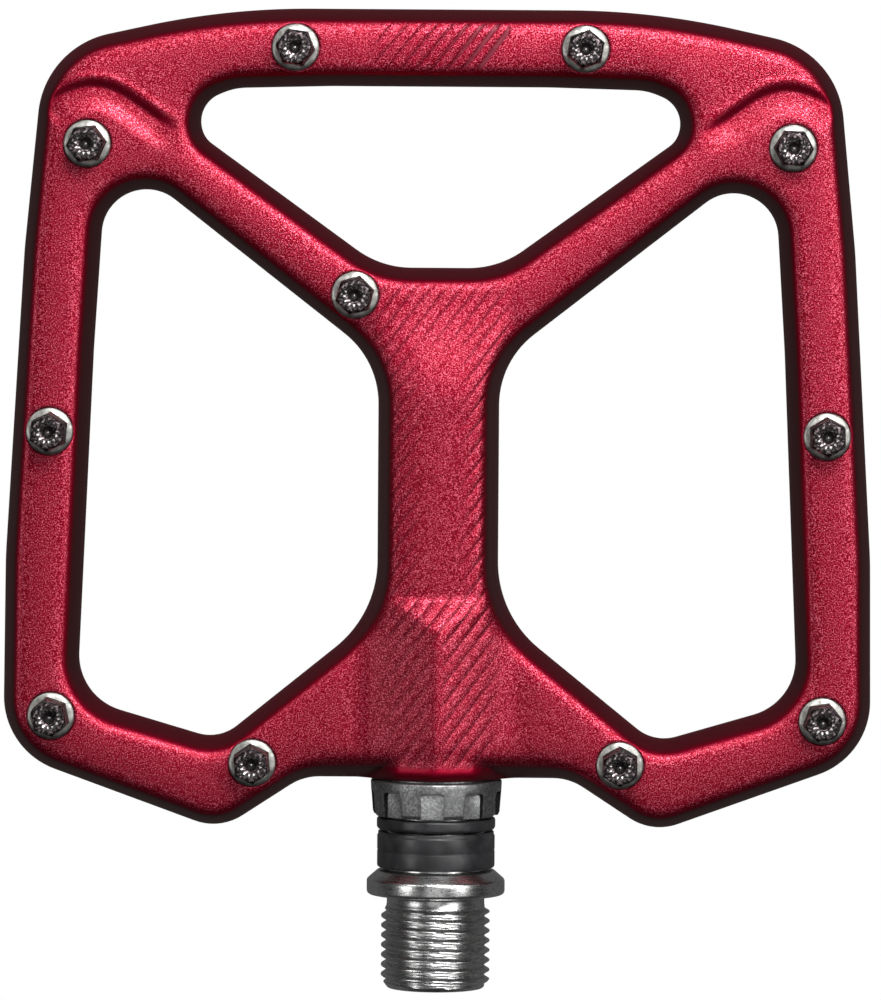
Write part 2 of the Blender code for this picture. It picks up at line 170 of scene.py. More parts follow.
# ---------------------------------------------------------------- materials
def red_anodised():
    """Dyed anodising over a shot-peened surface: a fine sparkle of tiny
    dimples, a clear sealed layer, and a plain engraved tone where the lines
    are cut. The same dark tone also paints shade along the hub's front edge,
    and steep walls get painted shade, lighter where they face +Y."""
    mat, tree, shader = new_material("red_anodised_alloy_peened")
    at = object_coords(tree)
    attribute = tree.nodes.new("ShaderNodeAttribute")
    attribute.attribute_name = "etch_and_painted_shade"
    etch_and_painted_shade = attribute.outputs["Fac"]
    smooth_zone = tree.nodes.new("ShaderNodeAttribute")
    smooth_zone.attribute_name = "grain"
    grain_mask = smooth_zone.outputs["Fac"]
    grain = noise(tree, at, 5200.0, 1.5, 0.55)
    speck = noise(tree, at, 6400.0, 1.5, 0.55)
    cloud = noise(tree, at, 90.0, 3.0, 0.55)
    tone = ramp(tree, speck, [(0.38, (0.13, 0.0002, 0.005)), (0.53, (0.31, 0.0010, 0.021)), (0.67, (0.70, 0.155, 0.225))])
    tone = mix_colour(tree, map_range(tree, cloud, 0.35, 0.65, 0.0, 0.08), tone, (0.28, 0.002, 0.020))
    plain = mix_colour(tree, grain_mask, (0.35, 0.0016, 0.025), tone)
    # engraved tone of the cut lines; on the strip behind the hub's front edge the same dark tone is painted shade
    cut = mix_colour(tree, map_range(tree, etch_and_painted_shade, 0.72, 0.95, 0.0, 1.0), (0.12, 0.003, 0.012), (0.19, 0.030, 0.046))
    colour = mix_colour(tree, etch_and_painted_shade, plain, cut)
    # painted shade: where the surface turns steeply away the colour is darkened, and walls whose normal points to +Y
    # get a redder, lighter tone as painted light from the lamps on that side
    painted_shade_facing = node(tree, "ShaderNodeLayerWeight", Blend=0.5).outputs["Facing"]
    parts = tree.nodes.new("ShaderNodeSeparateXYZ")
    tree.links.new(tree.nodes.new("ShaderNodeTexCoord").outputs["Normal"], parts.inputs["Vector"])
    wall = mix_colour(tree, map_range(tree, parts.outputs["Y"], 0.15, 0.75, 0.0, 1.0), (0.115, 0.020, 0.024), (0.21, 0.006, 0.020))
    colour = mix_colour(tree, map_range(tree, painted_shade_facing, 0.30, 0.58, 0.0, 1.0), colour, wall)
    tree.links.new(colour, shader.inputs["Base Color"])
    rough = map_range(tree, speck, 0.3, 0.7, 0.54, 0.44)
    rough = math_node(tree, "ADD", rough, math_node(tree, "MULTIPLY", etch_and_painted_shade, 0.12))
    tree.links.new(rough, shader.inputs["Roughness"])
    shader.inputs["Metallic"].default_value = 1.0
    shader.inputs["Coat Weight"].default_value = 0.14
    shader.inputs["Coat Roughness"].default_value = 0.3
    shader.inputs["Coat IOR"].default_value = 1.5
    strength = math_node(tree, "MULTIPLY", grain_mask, math_node(tree, "SUBTRACT", 1.0, math_node(tree, "MULTIPLY", etch_and_painted_shade, 0.8)))
    strength = math_node(tree, "MULTIPLY", strength, 0.9)
    normal = bump(tree, grain, 0.000028, strength)
    tree.links.new(normal, shader.inputs["Normal"])
    tree.links.new(normal, shader.inputs["Coat Normal"])
    return mat


def turned_steel(name, colour, rough, line_scale=9000.0, depth=0.0000012, spread=0.06, stain=0.25):
    """Machined steel with fine turning lines round the spindle axis."""
    mat, tree, shader = new_material(name)
    at = object_coords(tree)
    lines = noise(tree, scaled(tree, at, (0.02, 1.0, 0.02)), line_scale, 2.0, 0.6)
    cloud = noise(tree, at, 260.0, 4.0, 0.6)
    fine = noise(tree, at, 5200.0, 2.0, 0.6)
    dark = tuple(c * (1 - stain) for c in colour)
    tone = mix_colour(tree, map_range(tree, cloud, 0.35, 0.7, 0.0, 1.0), colour, dark)
    tone = mix_colour(tree, map_range(tree, fine, 0.46, 0.34, 0.0, 1.0), tone, tuple(c * 0.3 for c in colour))
    tree.links.new(tone, shader.inputs["Base Color"])
    wobble = math_node(tree, "ADD", map_range(tree, lines, 0.3, 0.7, -spread, spread), map_range(tree, cloud, 0.3, 0.7, -spread, spread))
    tree.links.new(math_node(tree, "ADD", wobble, rough), shader.inputs["Roughness"])
    shader.inputs["Metallic"].default_value = 1.0
    normal = bump(tree, lines, depth * 4, 0.6)
    normal = bump(tree, fine, depth * 9, 0.6, normal)
    tree.links.new(normal, shader.inputs["Normal"])
    return mat


def blasted_alloy(name, level):
    """Bead-blasted alloy: a dull grey with an even, sandy tooth."""
    mat, tree, shader = new_material(name)
    at = object_coords(tree)
    tooth = noise(tree, at, 5200.0, 2.5, 0.65)
    speck = noise(tree, at, 3000.0, 2.0, 0.6)
    cloud = noise(tree, at, 400.0, 3.0, 0.6)
    shade = lambda v: (v * level * 0.99, v * level, v * level)
    tone = ramp(tree, speck, [(0.34, shade(0.24)), (0.50, shade(0.40)), (0.66, shade(0.72))])
    tone = mix_colour(tree, map_range(tree, cloud, 0.35, 0.65, 0.0, 0.3), tone, shade(0.30))
    tree.links.new(tone, shader.inputs["Base Color"])
    tree.links.new(map_range(tree, speck, 0.3, 0.7, 0.52, 0.40), shader.inputs["Roughness"])
    shader.inputs["Metallic"].default_value = 1.0
    tree.links.new(bump(tree, tooth, 0.000022, 0.9), shader.inputs["Normal"])
    return mat


def black_rubber(name, rough=0.36):
    """Moulded black rubber or nylon with a faint sheen and handling marks."""
    mat, tree, shader = new_material(name)
    at = object_coords(tree)
    lines = noise(tree, scaled(tree, at, (0.03, 1.0, 0.03)), 7000.0, 2.0, 0.6)
    cloud = noise(tree, at, 500.0, 4.0, 0.6)
    tone = ramp(tree, cloud, [(0.35, (0.012, 0.012, 0.013)), (0.6, (0.022, 0.022, 0.024)), (0.75, (0.045, 0.045, 0.046))])
    tree.links.new(tone, shader.inputs["Base Color"])
    tree.links.new(map_range(tree, cloud, 0.3, 0.7, rough - 0.06, rough + 0.08), shader.inputs["Roughness"])
    tree.links.new(bump(tree, lines, 0.000006, 0.6), shader.inputs["Normal"])
    return mat


def pin_flange_steel():
    mat, tree, shader = new_material("pin_flange_steel")
    at = object_coords(tree)
    cloud = noise(tree, at, 1200.0, 3.0, 0.6)
    fine = noise(tree, at, 5200.0, 2.0, 0.6)
    tone = ramp(tree, cloud, [(0.36, (0.20, 0.195, 0.18)), (0.56, (0.35, 0.34, 0.32)), (0.70, (0.52, 0.51, 0.485))])
    tree.links.new(tone, shader.inputs["Base Color"])
    tree.links.new(map_range(tree, cloud, 0.3, 0.7, 0.46, 0.36), shader.inputs["Roughness"])
    shader.inputs["Metallic"].default_value = 1.0
    tree.links.new(bump(tree, fine, 0.000006, 0.6), shader.inputs["Normal"])
    return mat


def pin_black():
    """Black-oxide steel on the hexagon, pitted and slightly picked out."""
    mat, tree, shader = new_material("pin_black_oxide")
    at = object_coords(tree)
    blot = noise(tree, at, 2600.0, 3.0, 0.6)
    fine = noise(tree, at, 4200.0, 2.0, 0.65)
    tone = ramp(tree, blot, [(0.43, (0.010, 0.009, 0.009)), (0.52, (0.050, 0.036, 0.040)), (0.60, (0.24, 0.19, 0.20)), (0.72, (0.66, 0.60, 0.59))])
    tree.links.new(tone, shader.inputs["Base Color"])
    tree.links.new(map_range(tree, blot, 0.35, 0.7, 0.45, 0.25), shader.inputs["Roughness"])
    shader.inputs["Metallic"].default_value = 0.9
    tree.links.new(bump(tree, fine, 0.00003, 0.8), shader.inputs["Normal"])
    return mat


def pin_dark():
    """Plain black oxide on the hexagon's sides; the same near-black down in the recess is painted shade."""
    mat, tree, shader = new_material("pin_black_oxide_and_painted_shade")
    at = object_coords(tree)
    blot = noise(tree, at, 2600.0, 2.0, 0.6)
    tone = ramp(tree, blot, [(0.35, (0.008, 0.007, 0.007)), (0.65, (0.035, 0.028, 0.028))])
    tree.links.new(tone, shader.inputs["Base Color"])
    shader.inputs["Roughness"].default_value = 0.5
    shader.inputs["Metallic"].default_value = 0.6
    tree.links.new(bump(tree, blot, 0.00002, 0.5), shader.inputs["Normal"])
    return mat


def pin_recess():
    mat, tree, shader = new_material("pin_bare_steel_and_painted_highlight")
    at = object_coords(tree)
    blot = noise(tree, at, 3000.0, 2.0, 0.6)
    tone = ramp(tree, blot, [(0.36, (0.16, 0.15, 0.15)), (0.64, (0.66, 0.63, 0.62))])
    tree.links.new(tone, shader.inputs["Base Color"])
    shader.inputs["Roughness"].default_value = 0.3
    shader.inputs["Metallic"].default_value = 1.0
    tree.links.new(bump(tree, blot, 0.00002, 0.7), shader.inputs["Normal"])
    return mat


def polymer(name, colour):
    mat, tree, shader = new_material(name)
    at = object_coords(tree)
    cloud = noise(tree, at, 700.0, 3.0, 0.55)
    tone = mix_colour(tree, map_range(tree, cloud, 0.35, 0.65, 0.0, 0.5), colour, tuple(c * 0.7 for c in colour))
    tree.links.new(tone, shader.inputs["Base Color"])
    tree.links.new(map_range(tree, cloud, 0.3, 0.7, 0.62, 0.48), shader.inputs["Roughness"])
    tree.links.new(bump(tree, noise(tree, at, 4000.0, 2.0, 0.5), 0.00001, 0.5), shader.inputs["Normal"])
    return mat


RED = red_anodised()
STEEL = turned_steel("machined_steel_satin", (0.74, 0.74, 0.735), 0.27)
RACE = turned_steel("bearing_steel_ground", (0.66, 0.66, 0.66), 0.16, 12000.0, 0.0000006, 0.03, 0.1)
ALLOY = blasted_alloy("bead_blasted_alloy", 0.64)
# the same alloy painted darker and lighter: painted shade on the collar's slot walls, painted light on the slot floors
ALLOY_SLOT_WALL_PAINTED_SHADE = blasted_alloy("bead_blasted_alloy_slot_wall_painted_shade", 0.08)
ALLOY_SLOT_FLOOR_PAINTED_LIGHT = blasted_alloy("bead_blasted_alloy_slot_floor_painted_light", 1.55)
RUBBER = black_rubber("black_rubber_seal")
PIN_FLANGE = pin_flange_steel()
PIN_BLACK = pin_black()
# light steel: bare steel on the crown's edge, painted highlight in the recess and on its centre dot; the near-black
# next is plain oxide on the hexagon's sides and painted shade in the recess
PIN_BARE_STEEL_AND_HIGHLIGHT = pin_recess()
PIN_BLACK_AND_RECESS_SHADE = pin_dark()
POLYMER = polymer("bush_polymer_tan", (0.45, 0.36, 0.15))


# ---------------------------------------------------------------- mesh helpers
def make_object(name, mesh, materials, sharp=35.0):
    for mat in materials:
        mesh.materials.append(mat)
    mesh.shade_smooth()
    mesh.set_sharp_from_angle(angle=math.radians(sharp))
    obj = bpy.data.objects.new(name, mesh)
    bpy.context.scene.collection.objects.link(obj)
    return obj


def mesh_from(name, verts, faces):
    mesh = bpy.data.meshes.new(name)
    mesh.from_pydata(np.asarray(verts, float).tolist(), [], [tuple(int(i) for i in f) for f in faces])
    mesh.validate()
    return mesh


def filleted(corners, step, turn_step=6.0):
    """A closed loop of straight runs with rounded corners, sampled every STEP.

    Returns rows of (x, y, nx, ny); the normal points out of the loop.
    """
    points = []
    count = len(corners)
    area = sum(
        corners[i - 1][0] * corners[i][1] - corners[i][0] * corners[i - 1][1]
        for i in range(count)
    )
    for i, (x, y, radius) in enumerate(corners):
        here = Vector((x, y))
        before = (Vector(corners[i - 1][:2]) - here).normalized()
        after = (Vector(corners[(i + 1) % count][:2]) - here).normalized()
        half = before.angle(after) / 2
        middle = here + (before + after).normalized() * (radius / math.sin(half))
        spoke = here + before * (radius / math.tan(half)) - middle
        turn = math.pi - 2 * half
        left = before.x * after.y - before.y * after.x < 0
        chords = max(math.ceil(turn / math.radians(turn_step)), math.ceil(radius * turn / step), 2)
        for k in range(chords + 1):
            a = (turn if left else -turn) * k / chords
            out = Vector((spoke.x * math.cos(a) - spoke.y * math.sin(a), spoke.x * math.sin(a) + spoke.y * math.cos(a)))
            at = middle + out
            normal = out.normalized() * (1 if left == (area > 0) else -1)
            points.append((at.x, at.y, normal.x, normal.y))
    rows = []
    for a, b in zip(points, points[1:] + points[:1]):
        rows.append(a)
        gap = math.hypot(b[0] - a[0], b[1] - a[1])
        parts = max(1, math.ceil(gap / step - 1e-6))
        for k in range(1, parts):
            t = k / parts
            nx, ny = a[2] + (b[2] - a[2]) * t, a[3] + (b[3] - a[3]) * t
            size = math.hypot(nx, ny)
            rows.append((a[0] + (b[0] - a[0]) * t, a[1] + (b[1] - a[1]) * t, nx / size, ny / size))
    return np.array(rows)


def mirrored_loop(corners, step):
    return filleted(list(corners) + [(-x, y, r) for x, y, r in reversed(corners)], step)


def smoothstep(a, b, v):
    t = np.clip((v - a) / (b - a), 0, 1)
    return t * t * (3 - 2 * t)


def smooth_max(a, b, k):
    h = np.clip(0.5 + 0.5 * (a - b) / k, 0, 1)
    return b + (a - b) * h + k * h * (1 - h)


def monotone(xs, ys):
    """A monotone cubic through the points, as a function of an array."""
    xs, ys = np.asarray(xs, float), np.asarray(ys, float)
    h, s = np.diff(xs), np.diff(ys) / np.diff(xs)
    m = np.zeros(len(xs))
    m[0], m[-1] = s[0], s[-1]
    for i in range(1, len(xs) - 1):
        if s[i - 1] * s[i] > 0:
            w1, w2 = 2 * h[i] + h[i - 1], h[i] + 2 * h[i - 1]
            m[i] = (w1 + w2) / (w1 / s[i - 1] + w2 / s[i])

    def f(v):
        v = np.clip(v, xs[0], xs[-1])
        i = np.clip(np.searchsorted(xs, v, side="right") - 1, 0, len(h) - 1)
        t = (v - xs[i]) / h[i]
        return (
            ys[i] * (1 + 2 * t) * (1 - t) ** 2 + ys[i + 1] * t * t * (3 - 2 * t)
            + h[i] * (m[i] * t * (1 - t) ** 2 + m[i + 1] * t * t * (t - 1))
        )

    return f


# ---------------------------------------------------------------- the body
# Height of the skin above the mid plane against the distance from the edge:
# a straight band, the drafted wall, the rounded edge and a gentle crown.
EDGE = monotone(
    [0.0, 0.03, 0.40, 0.80, 1.15, 1.40, 1.60, 1.85, 2.15, 2.60, 3.20, 4.00, 5.00, 5.60],
    [0.0, 0.70, 1.90, 3.04, 3.97, 4.52, 4.82, 5.07, 5.24, 5.365, 5.43, 5.465, 5.49, 5.50],
)
RINGS = [0.03, 0.45, 0.85, 1.18, 1.4, 1.6, 1.82, 2.1, 2.5, 3.1]

HATCH_ANGLE = math.radians(52.4)
HATCH_PITCH = 1.555           # between lines, square to them
HATCH_START = 0.64            # where the first line falls, square to the lines
HATCH_U = (math.cos(HATCH_ANGLE), math.sin(HATCH_ANGLE))
HATCH_N = (-math.sin(HATCH_ANGLE), math.cos(HATCH_ANGLE))

# Valley between the top bar's ends and the diagonals, on the +X side.
VALLEY = [
    (51.2, 100.7), (49.6, 102.3), (47.4, 103.5), (44.5, 104.1), (41.6, 103.4),
    (38.6, 101.5), (35.6, 99.4), (33.0, 97.9),
]


def catmull(points, step):
    pts = [Vector(p) for p in points]
    pts = [pts[0] * 2 - pts[1]] + pts + [pts[-1] * 2 - pts[-2]]
    out = []
    for i in range(1, len(pts) - 2):
        a, b, c, d = pts[i - 1:i + 3]
        n = max(2, math.ceil((c - b).length / step))
        for k in range(n):
            t = k / n
            out.append(0.5 * ((2 * b) + (c - a) * t + (2 * a - 5 * b + 4 * c - d) * t * t + (3 * b - a - 3 * c + d) * t ** 3))
    out.append(pts[-2])
    return np.array([[p.x, p.y] for p in out])


VALLEY_LINE = catmull(VALLEY, 0.35)


def nearest_on(path, pts, closed):
    """Distance to a polyline, the sample it is nearest to and the signed side
    (+ on the left of its direction)."""
    a = path
    b = np.roll(path, -1, axis=0) if closed else path[1:]
    a = a if closed else path[:-1]
    ab = b - a
    size = (ab ** 2).sum(1)
    best = np.full(len(pts), 1e18)
    index = np.zeros(len(pts), int)
    side = np.zeros(len(pts))
    along = np.zeros(len(pts))
    mid = (a + b) / 2
    for start in range(0, len(pts), 20000):
        p = pts[start:start + 20000]
        near = ((p[:, None, :].astype(np.float32) - mid[None].astype(np.float32)) ** 2).sum(2).argmin(1)
        for shift in (-1, 0, 1):
            i = near + shift
            i = i % len(a) if closed else np.clip(i, 0, len(a) - 1)
            t = np.clip((((p - a[i]) * ab[i]).sum(1)) / size[i], 0, 1)
            foot = a[i] + ab[i] * t[:, None]
            gap = ((p - foot) ** 2).sum(1)
            take = gap < best[start:start + 20000] - 1e-15
            cross = ab[i, 0] * (p[:, 1] - a[i, 1]) - ab[i, 1] * (p[:, 0] - a[i, 0])
            best[start:start + 20000] = np.where(take, gap, best[start:start + 20000])
            index[start:start + 20000] = np.where(take, i, index[start:start + 20000])
            side[start:start + 20000] = np.where(take, np.sign(cross), side[start:start + 20000])
            along[start:start + 20000] = np.where(take, i + t, along[start:start + 20000])
    return np.sqrt(best), along, side


def signed_area(loop):
    x, y = loop[:, 0], loop[:, 1]
    return 0.5 * np.sum(x * np.roll(y, -1) - np.roll(x, -1) * y)


outer = mirrored_loop(OUTER, 0.75)
# the mouth of the hub needs its own stations along the front edge
on_front = (np.abs(outer[:, 1] - MOUTH_Y) < 1e-6) & (np.abs(outer[:, 0]) < 14.9)
stations = [14.4, 13.6, 12.8, 12.1, 11.5, 11.2, 10.9, 10.5, 10.1, 9.7, 9.3, 8.9, 8.5, 8.1, 7.6, 7.0, 6.3, 5.5, 4.7, 3.9, 3.1, 2.3, 1.5, 0.7, 0.0]
stations = np.array(stations + [-s for s in reversed(stations[:-1])])
first = int(np.argmax(on_front))
kept = outer[~on_front]
before = int((~on_front[:first]).sum())
front = np.column_stack([stations, np.full(len(stations), MOUTH_Y), np.zeros(len(stations)), -np.ones(len(stations))])
outer = np.vstack([kept[:before], front, kept[before:]])
top_window = mirrored_loop(TOP_WINDOW, 0.7)
right_window = filleted(SIDE_WINDOW, 0.75)
left_window = right_window * np.array([-1, 1, -1, 1])
LOOPS = [outer, top_window, right_window, left_window]


def edge_distance(pts):
    """Distance into the material from the nearest outline or window edge."""
    best = np.full(len(pts), 1e18)
    inside = np.ones(len(pts), bool)
    for number, loop in enumerate(LOOPS):
        gap, _, side = nearest_on(loop[:, :2], pts, True)
        left_is_in = signed_area(loop) > 0
        within = (side > 0) == left_is_in
        ok = within if number == 0 else ~within
        inside &= ok | (gap < 1e-6)
        best = np.minimum(best, gap)
    return best, inside


def pins_on_top():
    spots = []
    for x, y in PIN_PAIRS:
        spots += [(-x, y), (x, y)]
    return spots + [PIN_SINGLE]


def smooth_min(a, b, k):
    return -smooth_max(-a, -b, k)


def hub_roof(x):
    """Two planes that fall away from a softly rounded ridge over the spindle."""
    return HUB_H - 0.42 * (np.sqrt(x * x + 0.36) - 0.6)


def section_height(x, y):
    """Height of the skin away from any edge."""
    ax = np.abs(x)
    spine = SPINE_H - 0.007 * x * x
    fade = 1 - smoothstep(64.0, 79.5, y)
    wide = 6.2 + 3.2 * smoothstep(66.0, 76.0, y) + 4.0 * smoothstep(40.0, 30.0, y)
    spine = RAIL_H + (spine - RAIL_H) * fade * (1 - smoothstep(wide, wide + 4.5, ax))
    # the hub: a hipped roof that climbs from the spine
    climb = np.maximum(38.9 - y, 0)
    climb = 0.61 * (np.sqrt(climb * climb + 0.16) - 0.4)
    hub = smooth_min(hub_roof(x), spine + climb, 0.45)
    high = np.where(y < 39.6, hub, np.minimum(spine, hub))
    soft = 0.3 + 0.7 * smoothstep(40.0, 34.0, y)
    return smooth_max(np.full_like(x, RAIL_H), high, soft) - soft / 4 * np.exp(-((high - RAIL_H) / soft) ** 2)


def mouth_rise(x, y):
    """Upper edge of the hub's front face, rolled over towards the roof."""
    ax = np.abs(x)
    side = smoothstep(11.5, 4.6, ax)
    t = np.clip((y - MOUTH_Y) / 1.35, 0, 1)
    roll = np.clip(1 - (1 - t) ** 2.2, 0, 1)
    return (hub_roof(x) - 0.12 - 1.0 * (1 - roll)) * side


def hatch_fields(x, y, d):
    """Depth and tone of the engraved lines."""
    u = x * HATCH_U[0] + y * HATCH_U[1]
    v = x * HATCH_N[0] + y * HATCH_N[1]
    phase = (v - HATCH_START) / HATCH_PITCH
    near = (phase - np.round(phase)) * HATCH_PITCH
    off = np.abs(near)
    # spine and junction
    left = smoothstep(-0.6, -4.6, x)
    right = smoothstep(1.0, 5.2, x)
    across = np.maximum(left, right)
    across = np.maximum(across, 0.9 * smoothstep(69.0, 74.0, y))
    spine = across * smoothstep(38.2, 39.4, y) * smoothstep(80.5, 77.5, y)
    spine = spine * smoothstep(-9.5, -7.2, x) * smoothstep(10.2, 7.2, x)
    # ramp: lines all the way across
    wedge = smoothstep(39.2, 38.2, y) * smoothstep(32.0, 34.5, y) * smoothstep(-7.0, -5.4, x) * smoothstep(8.0, 6.2, x)
    # hub: soft broad lines on the left of the ridge and thin ones on the right
    hub_y = smoothstep(35.0, 32.0, y) * smoothstep(16.2, 17.6, y)
    hub_left = hub_y * smoothstep(-8.6, -4.2, x) * smoothstep(-0.2, -1.6, x)
    hub_right = 0.62 * hub_y * smoothstep(0.0, 1.4, x) * smoothstep(9.4, 4.6, x)
    edge = smoothstep(1.35, 1.9, d)
    mask = np.maximum(np.maximum(spine, wedge), hub_right) * edge
    vee = np.clip(1 - (off / 0.26) ** 2, 0, 1)
    depth = 0.07 * mask * vee
    etch_and_painted_shade = 0.66 * mask * np.clip(1.5 - off / 0.16, 0, 1)
    soft = np.clip(1 - (off / 0.44) ** 2, 0, 1)
    depth = np.maximum(depth, 0.035 * hub_left * edge * soft)
    etch_and_painted_shade = np.maximum(etch_and_painted_shade, 0.30 * hub_left * edge * soft)
    # top bar: lines that grow from a scratch to a broad bar towards +X
    grow = smoothstep(-8.6, 8.5, x)
    bar_half = 0.09 + 0.27 * grow ** 1.5
    bar_x = smoothstep(-8.9, -8.2, x) * smoothstep(9.3, 8.6, x)
    lean = x - (y - 109.5) / math.tan(HATCH_ANGLE)
    bar_x = bar_x * smoothstep(-9.8, -8.8, lean) * smoothstep(8.6, 7.6, lean)
    bar_y = smoothstep(106.3, 106.9, y) * smoothstep(112.9, 112.2, y)
    bar = bar_x * bar_y * np.clip((bar_half - off) / 0.06, 0, 1)
    depth = np.maximum(depth, 0.05 * bar)
    etch_and_painted_shade = np.maximum(etch_and_painted_shade, (0.45 + 0.55 * grow) * bar)
    return depth, etch_and_painted_shade


def valley_drop(x, y):
    gap, along, side = nearest_on(VALLEY_LINE, np.column_stack([np.abs(x), y]), False)
    s = gap * -side                     # the line runs towards -X here, so outboard is on its right
    length = len(VALLEY_LINE) - 1
    ends = smoothstep(0.0, length * 0.06, along) * smoothstep(length * 1.0, length * 0.78, along)
    up = smoothstep(1.25, 0.0, s)
    down = 0.3 * np.clip(1 + s / 3.2, 0, 1) + 0.7 * smoothstep(-3.1, -1.2, s)
    shape = np.where(s > 0, up, down)
    lip = 0.075 * np.exp(-((s - 1.6) / 0.36) ** 2)
    # past either end the distance grows round the tip, and the taper closes it
    return (0.56 * shape - lip) * ends


def valley_band(x, y):
    """1 on the smooth outboard wall of the valley, where the peening is worn off."""
    gap, along, side = nearest_on(VALLEY_LINE, np.column_stack([np.abs(x), y]), False)
    length = len(VALLEY_LINE) - 1
    ends = smoothstep(0.0, length * 0.06, along) * smoothstep(length * 1.0, length * 0.85, along)
    return np.exp(-((gap * -side - 0.6) / 0.6) ** 2) * ends


def skin(pts, d):
    """Upper skin of the body at plan points, with its tone attributes."""
    x, y = pts[:, 0], pts[:, 1]
    high = section_height(x, y)
    # the front edge rolls over more gently beside the mouth
    gentle = smoothstep(20.0, 12.0, np.abs(x)) * smoothstep(21.0, 17.5, y)
    z = EDGE(d * (1 - 0.24 * gentle)) * high / RAIL_H
    z = z - valley_drop(x, y) * np.clip((d - 0.9) / 1.2, 0, 1)
    in_hub = (np.abs(x) < HUB_HALF - 1e-9) & (y < 29.0)
    boss = np.where(in_hub, mouth_rise(x, y) * smoothstep(29.0, 26.0, y), 0.0)
    z = np.where(in_hub, np.maximum(z, smooth_max(z, boss, 0.35) - 0.0875 * (y > MOUTH_Y + 0.01) * smoothstep(0.0, 1.0, y - MOUTH_Y)), z)
    depth, etch_and_painted_shade = hatch_fields(x, y, d)
    z = z - depth
    # painted shade: the strip just behind the hub's front edge is given a dark tone through the etch attribute
    shadowed = 0.8 * np.clip(1 - (y - MOUTH_Y) / 1.3, 0, 1) ** 0.7 * smoothstep(13.0, 9.0, np.abs(x))
    etch_and_painted_shade = np.where(y < MOUTH_Y + 1.3, np.maximum(etch_and_painted_shade, shadowed), etch_and_painted_shade)
    for cx, cy in pins_on_top():
        r = np.hypot(x - cx, y - cy)
        lip = np.clip((PIN_SEAT_R + 0.09 - r) / 0.09, 0, 1)
        z = np.where(r < PIN_SEAT_R + 0.09, z - 0.06 * lip ** 2, z)
        seat = r <= PIN_SEAT_R + 0.005
        z = np.where(seat, np.minimum(z, SEAT_FLOOR), z)
        etch_and_painted_shade = np.where(r < PIN_SEAT_R + 0.1, 0.0, etch_and_painted_shade)
        if (cx, cy) == PIN_SINGLE:
            z = np.where(r <= PIN_HOLE_R + 0.005, 0.2, z)
    return z, etch_and_painted_shade


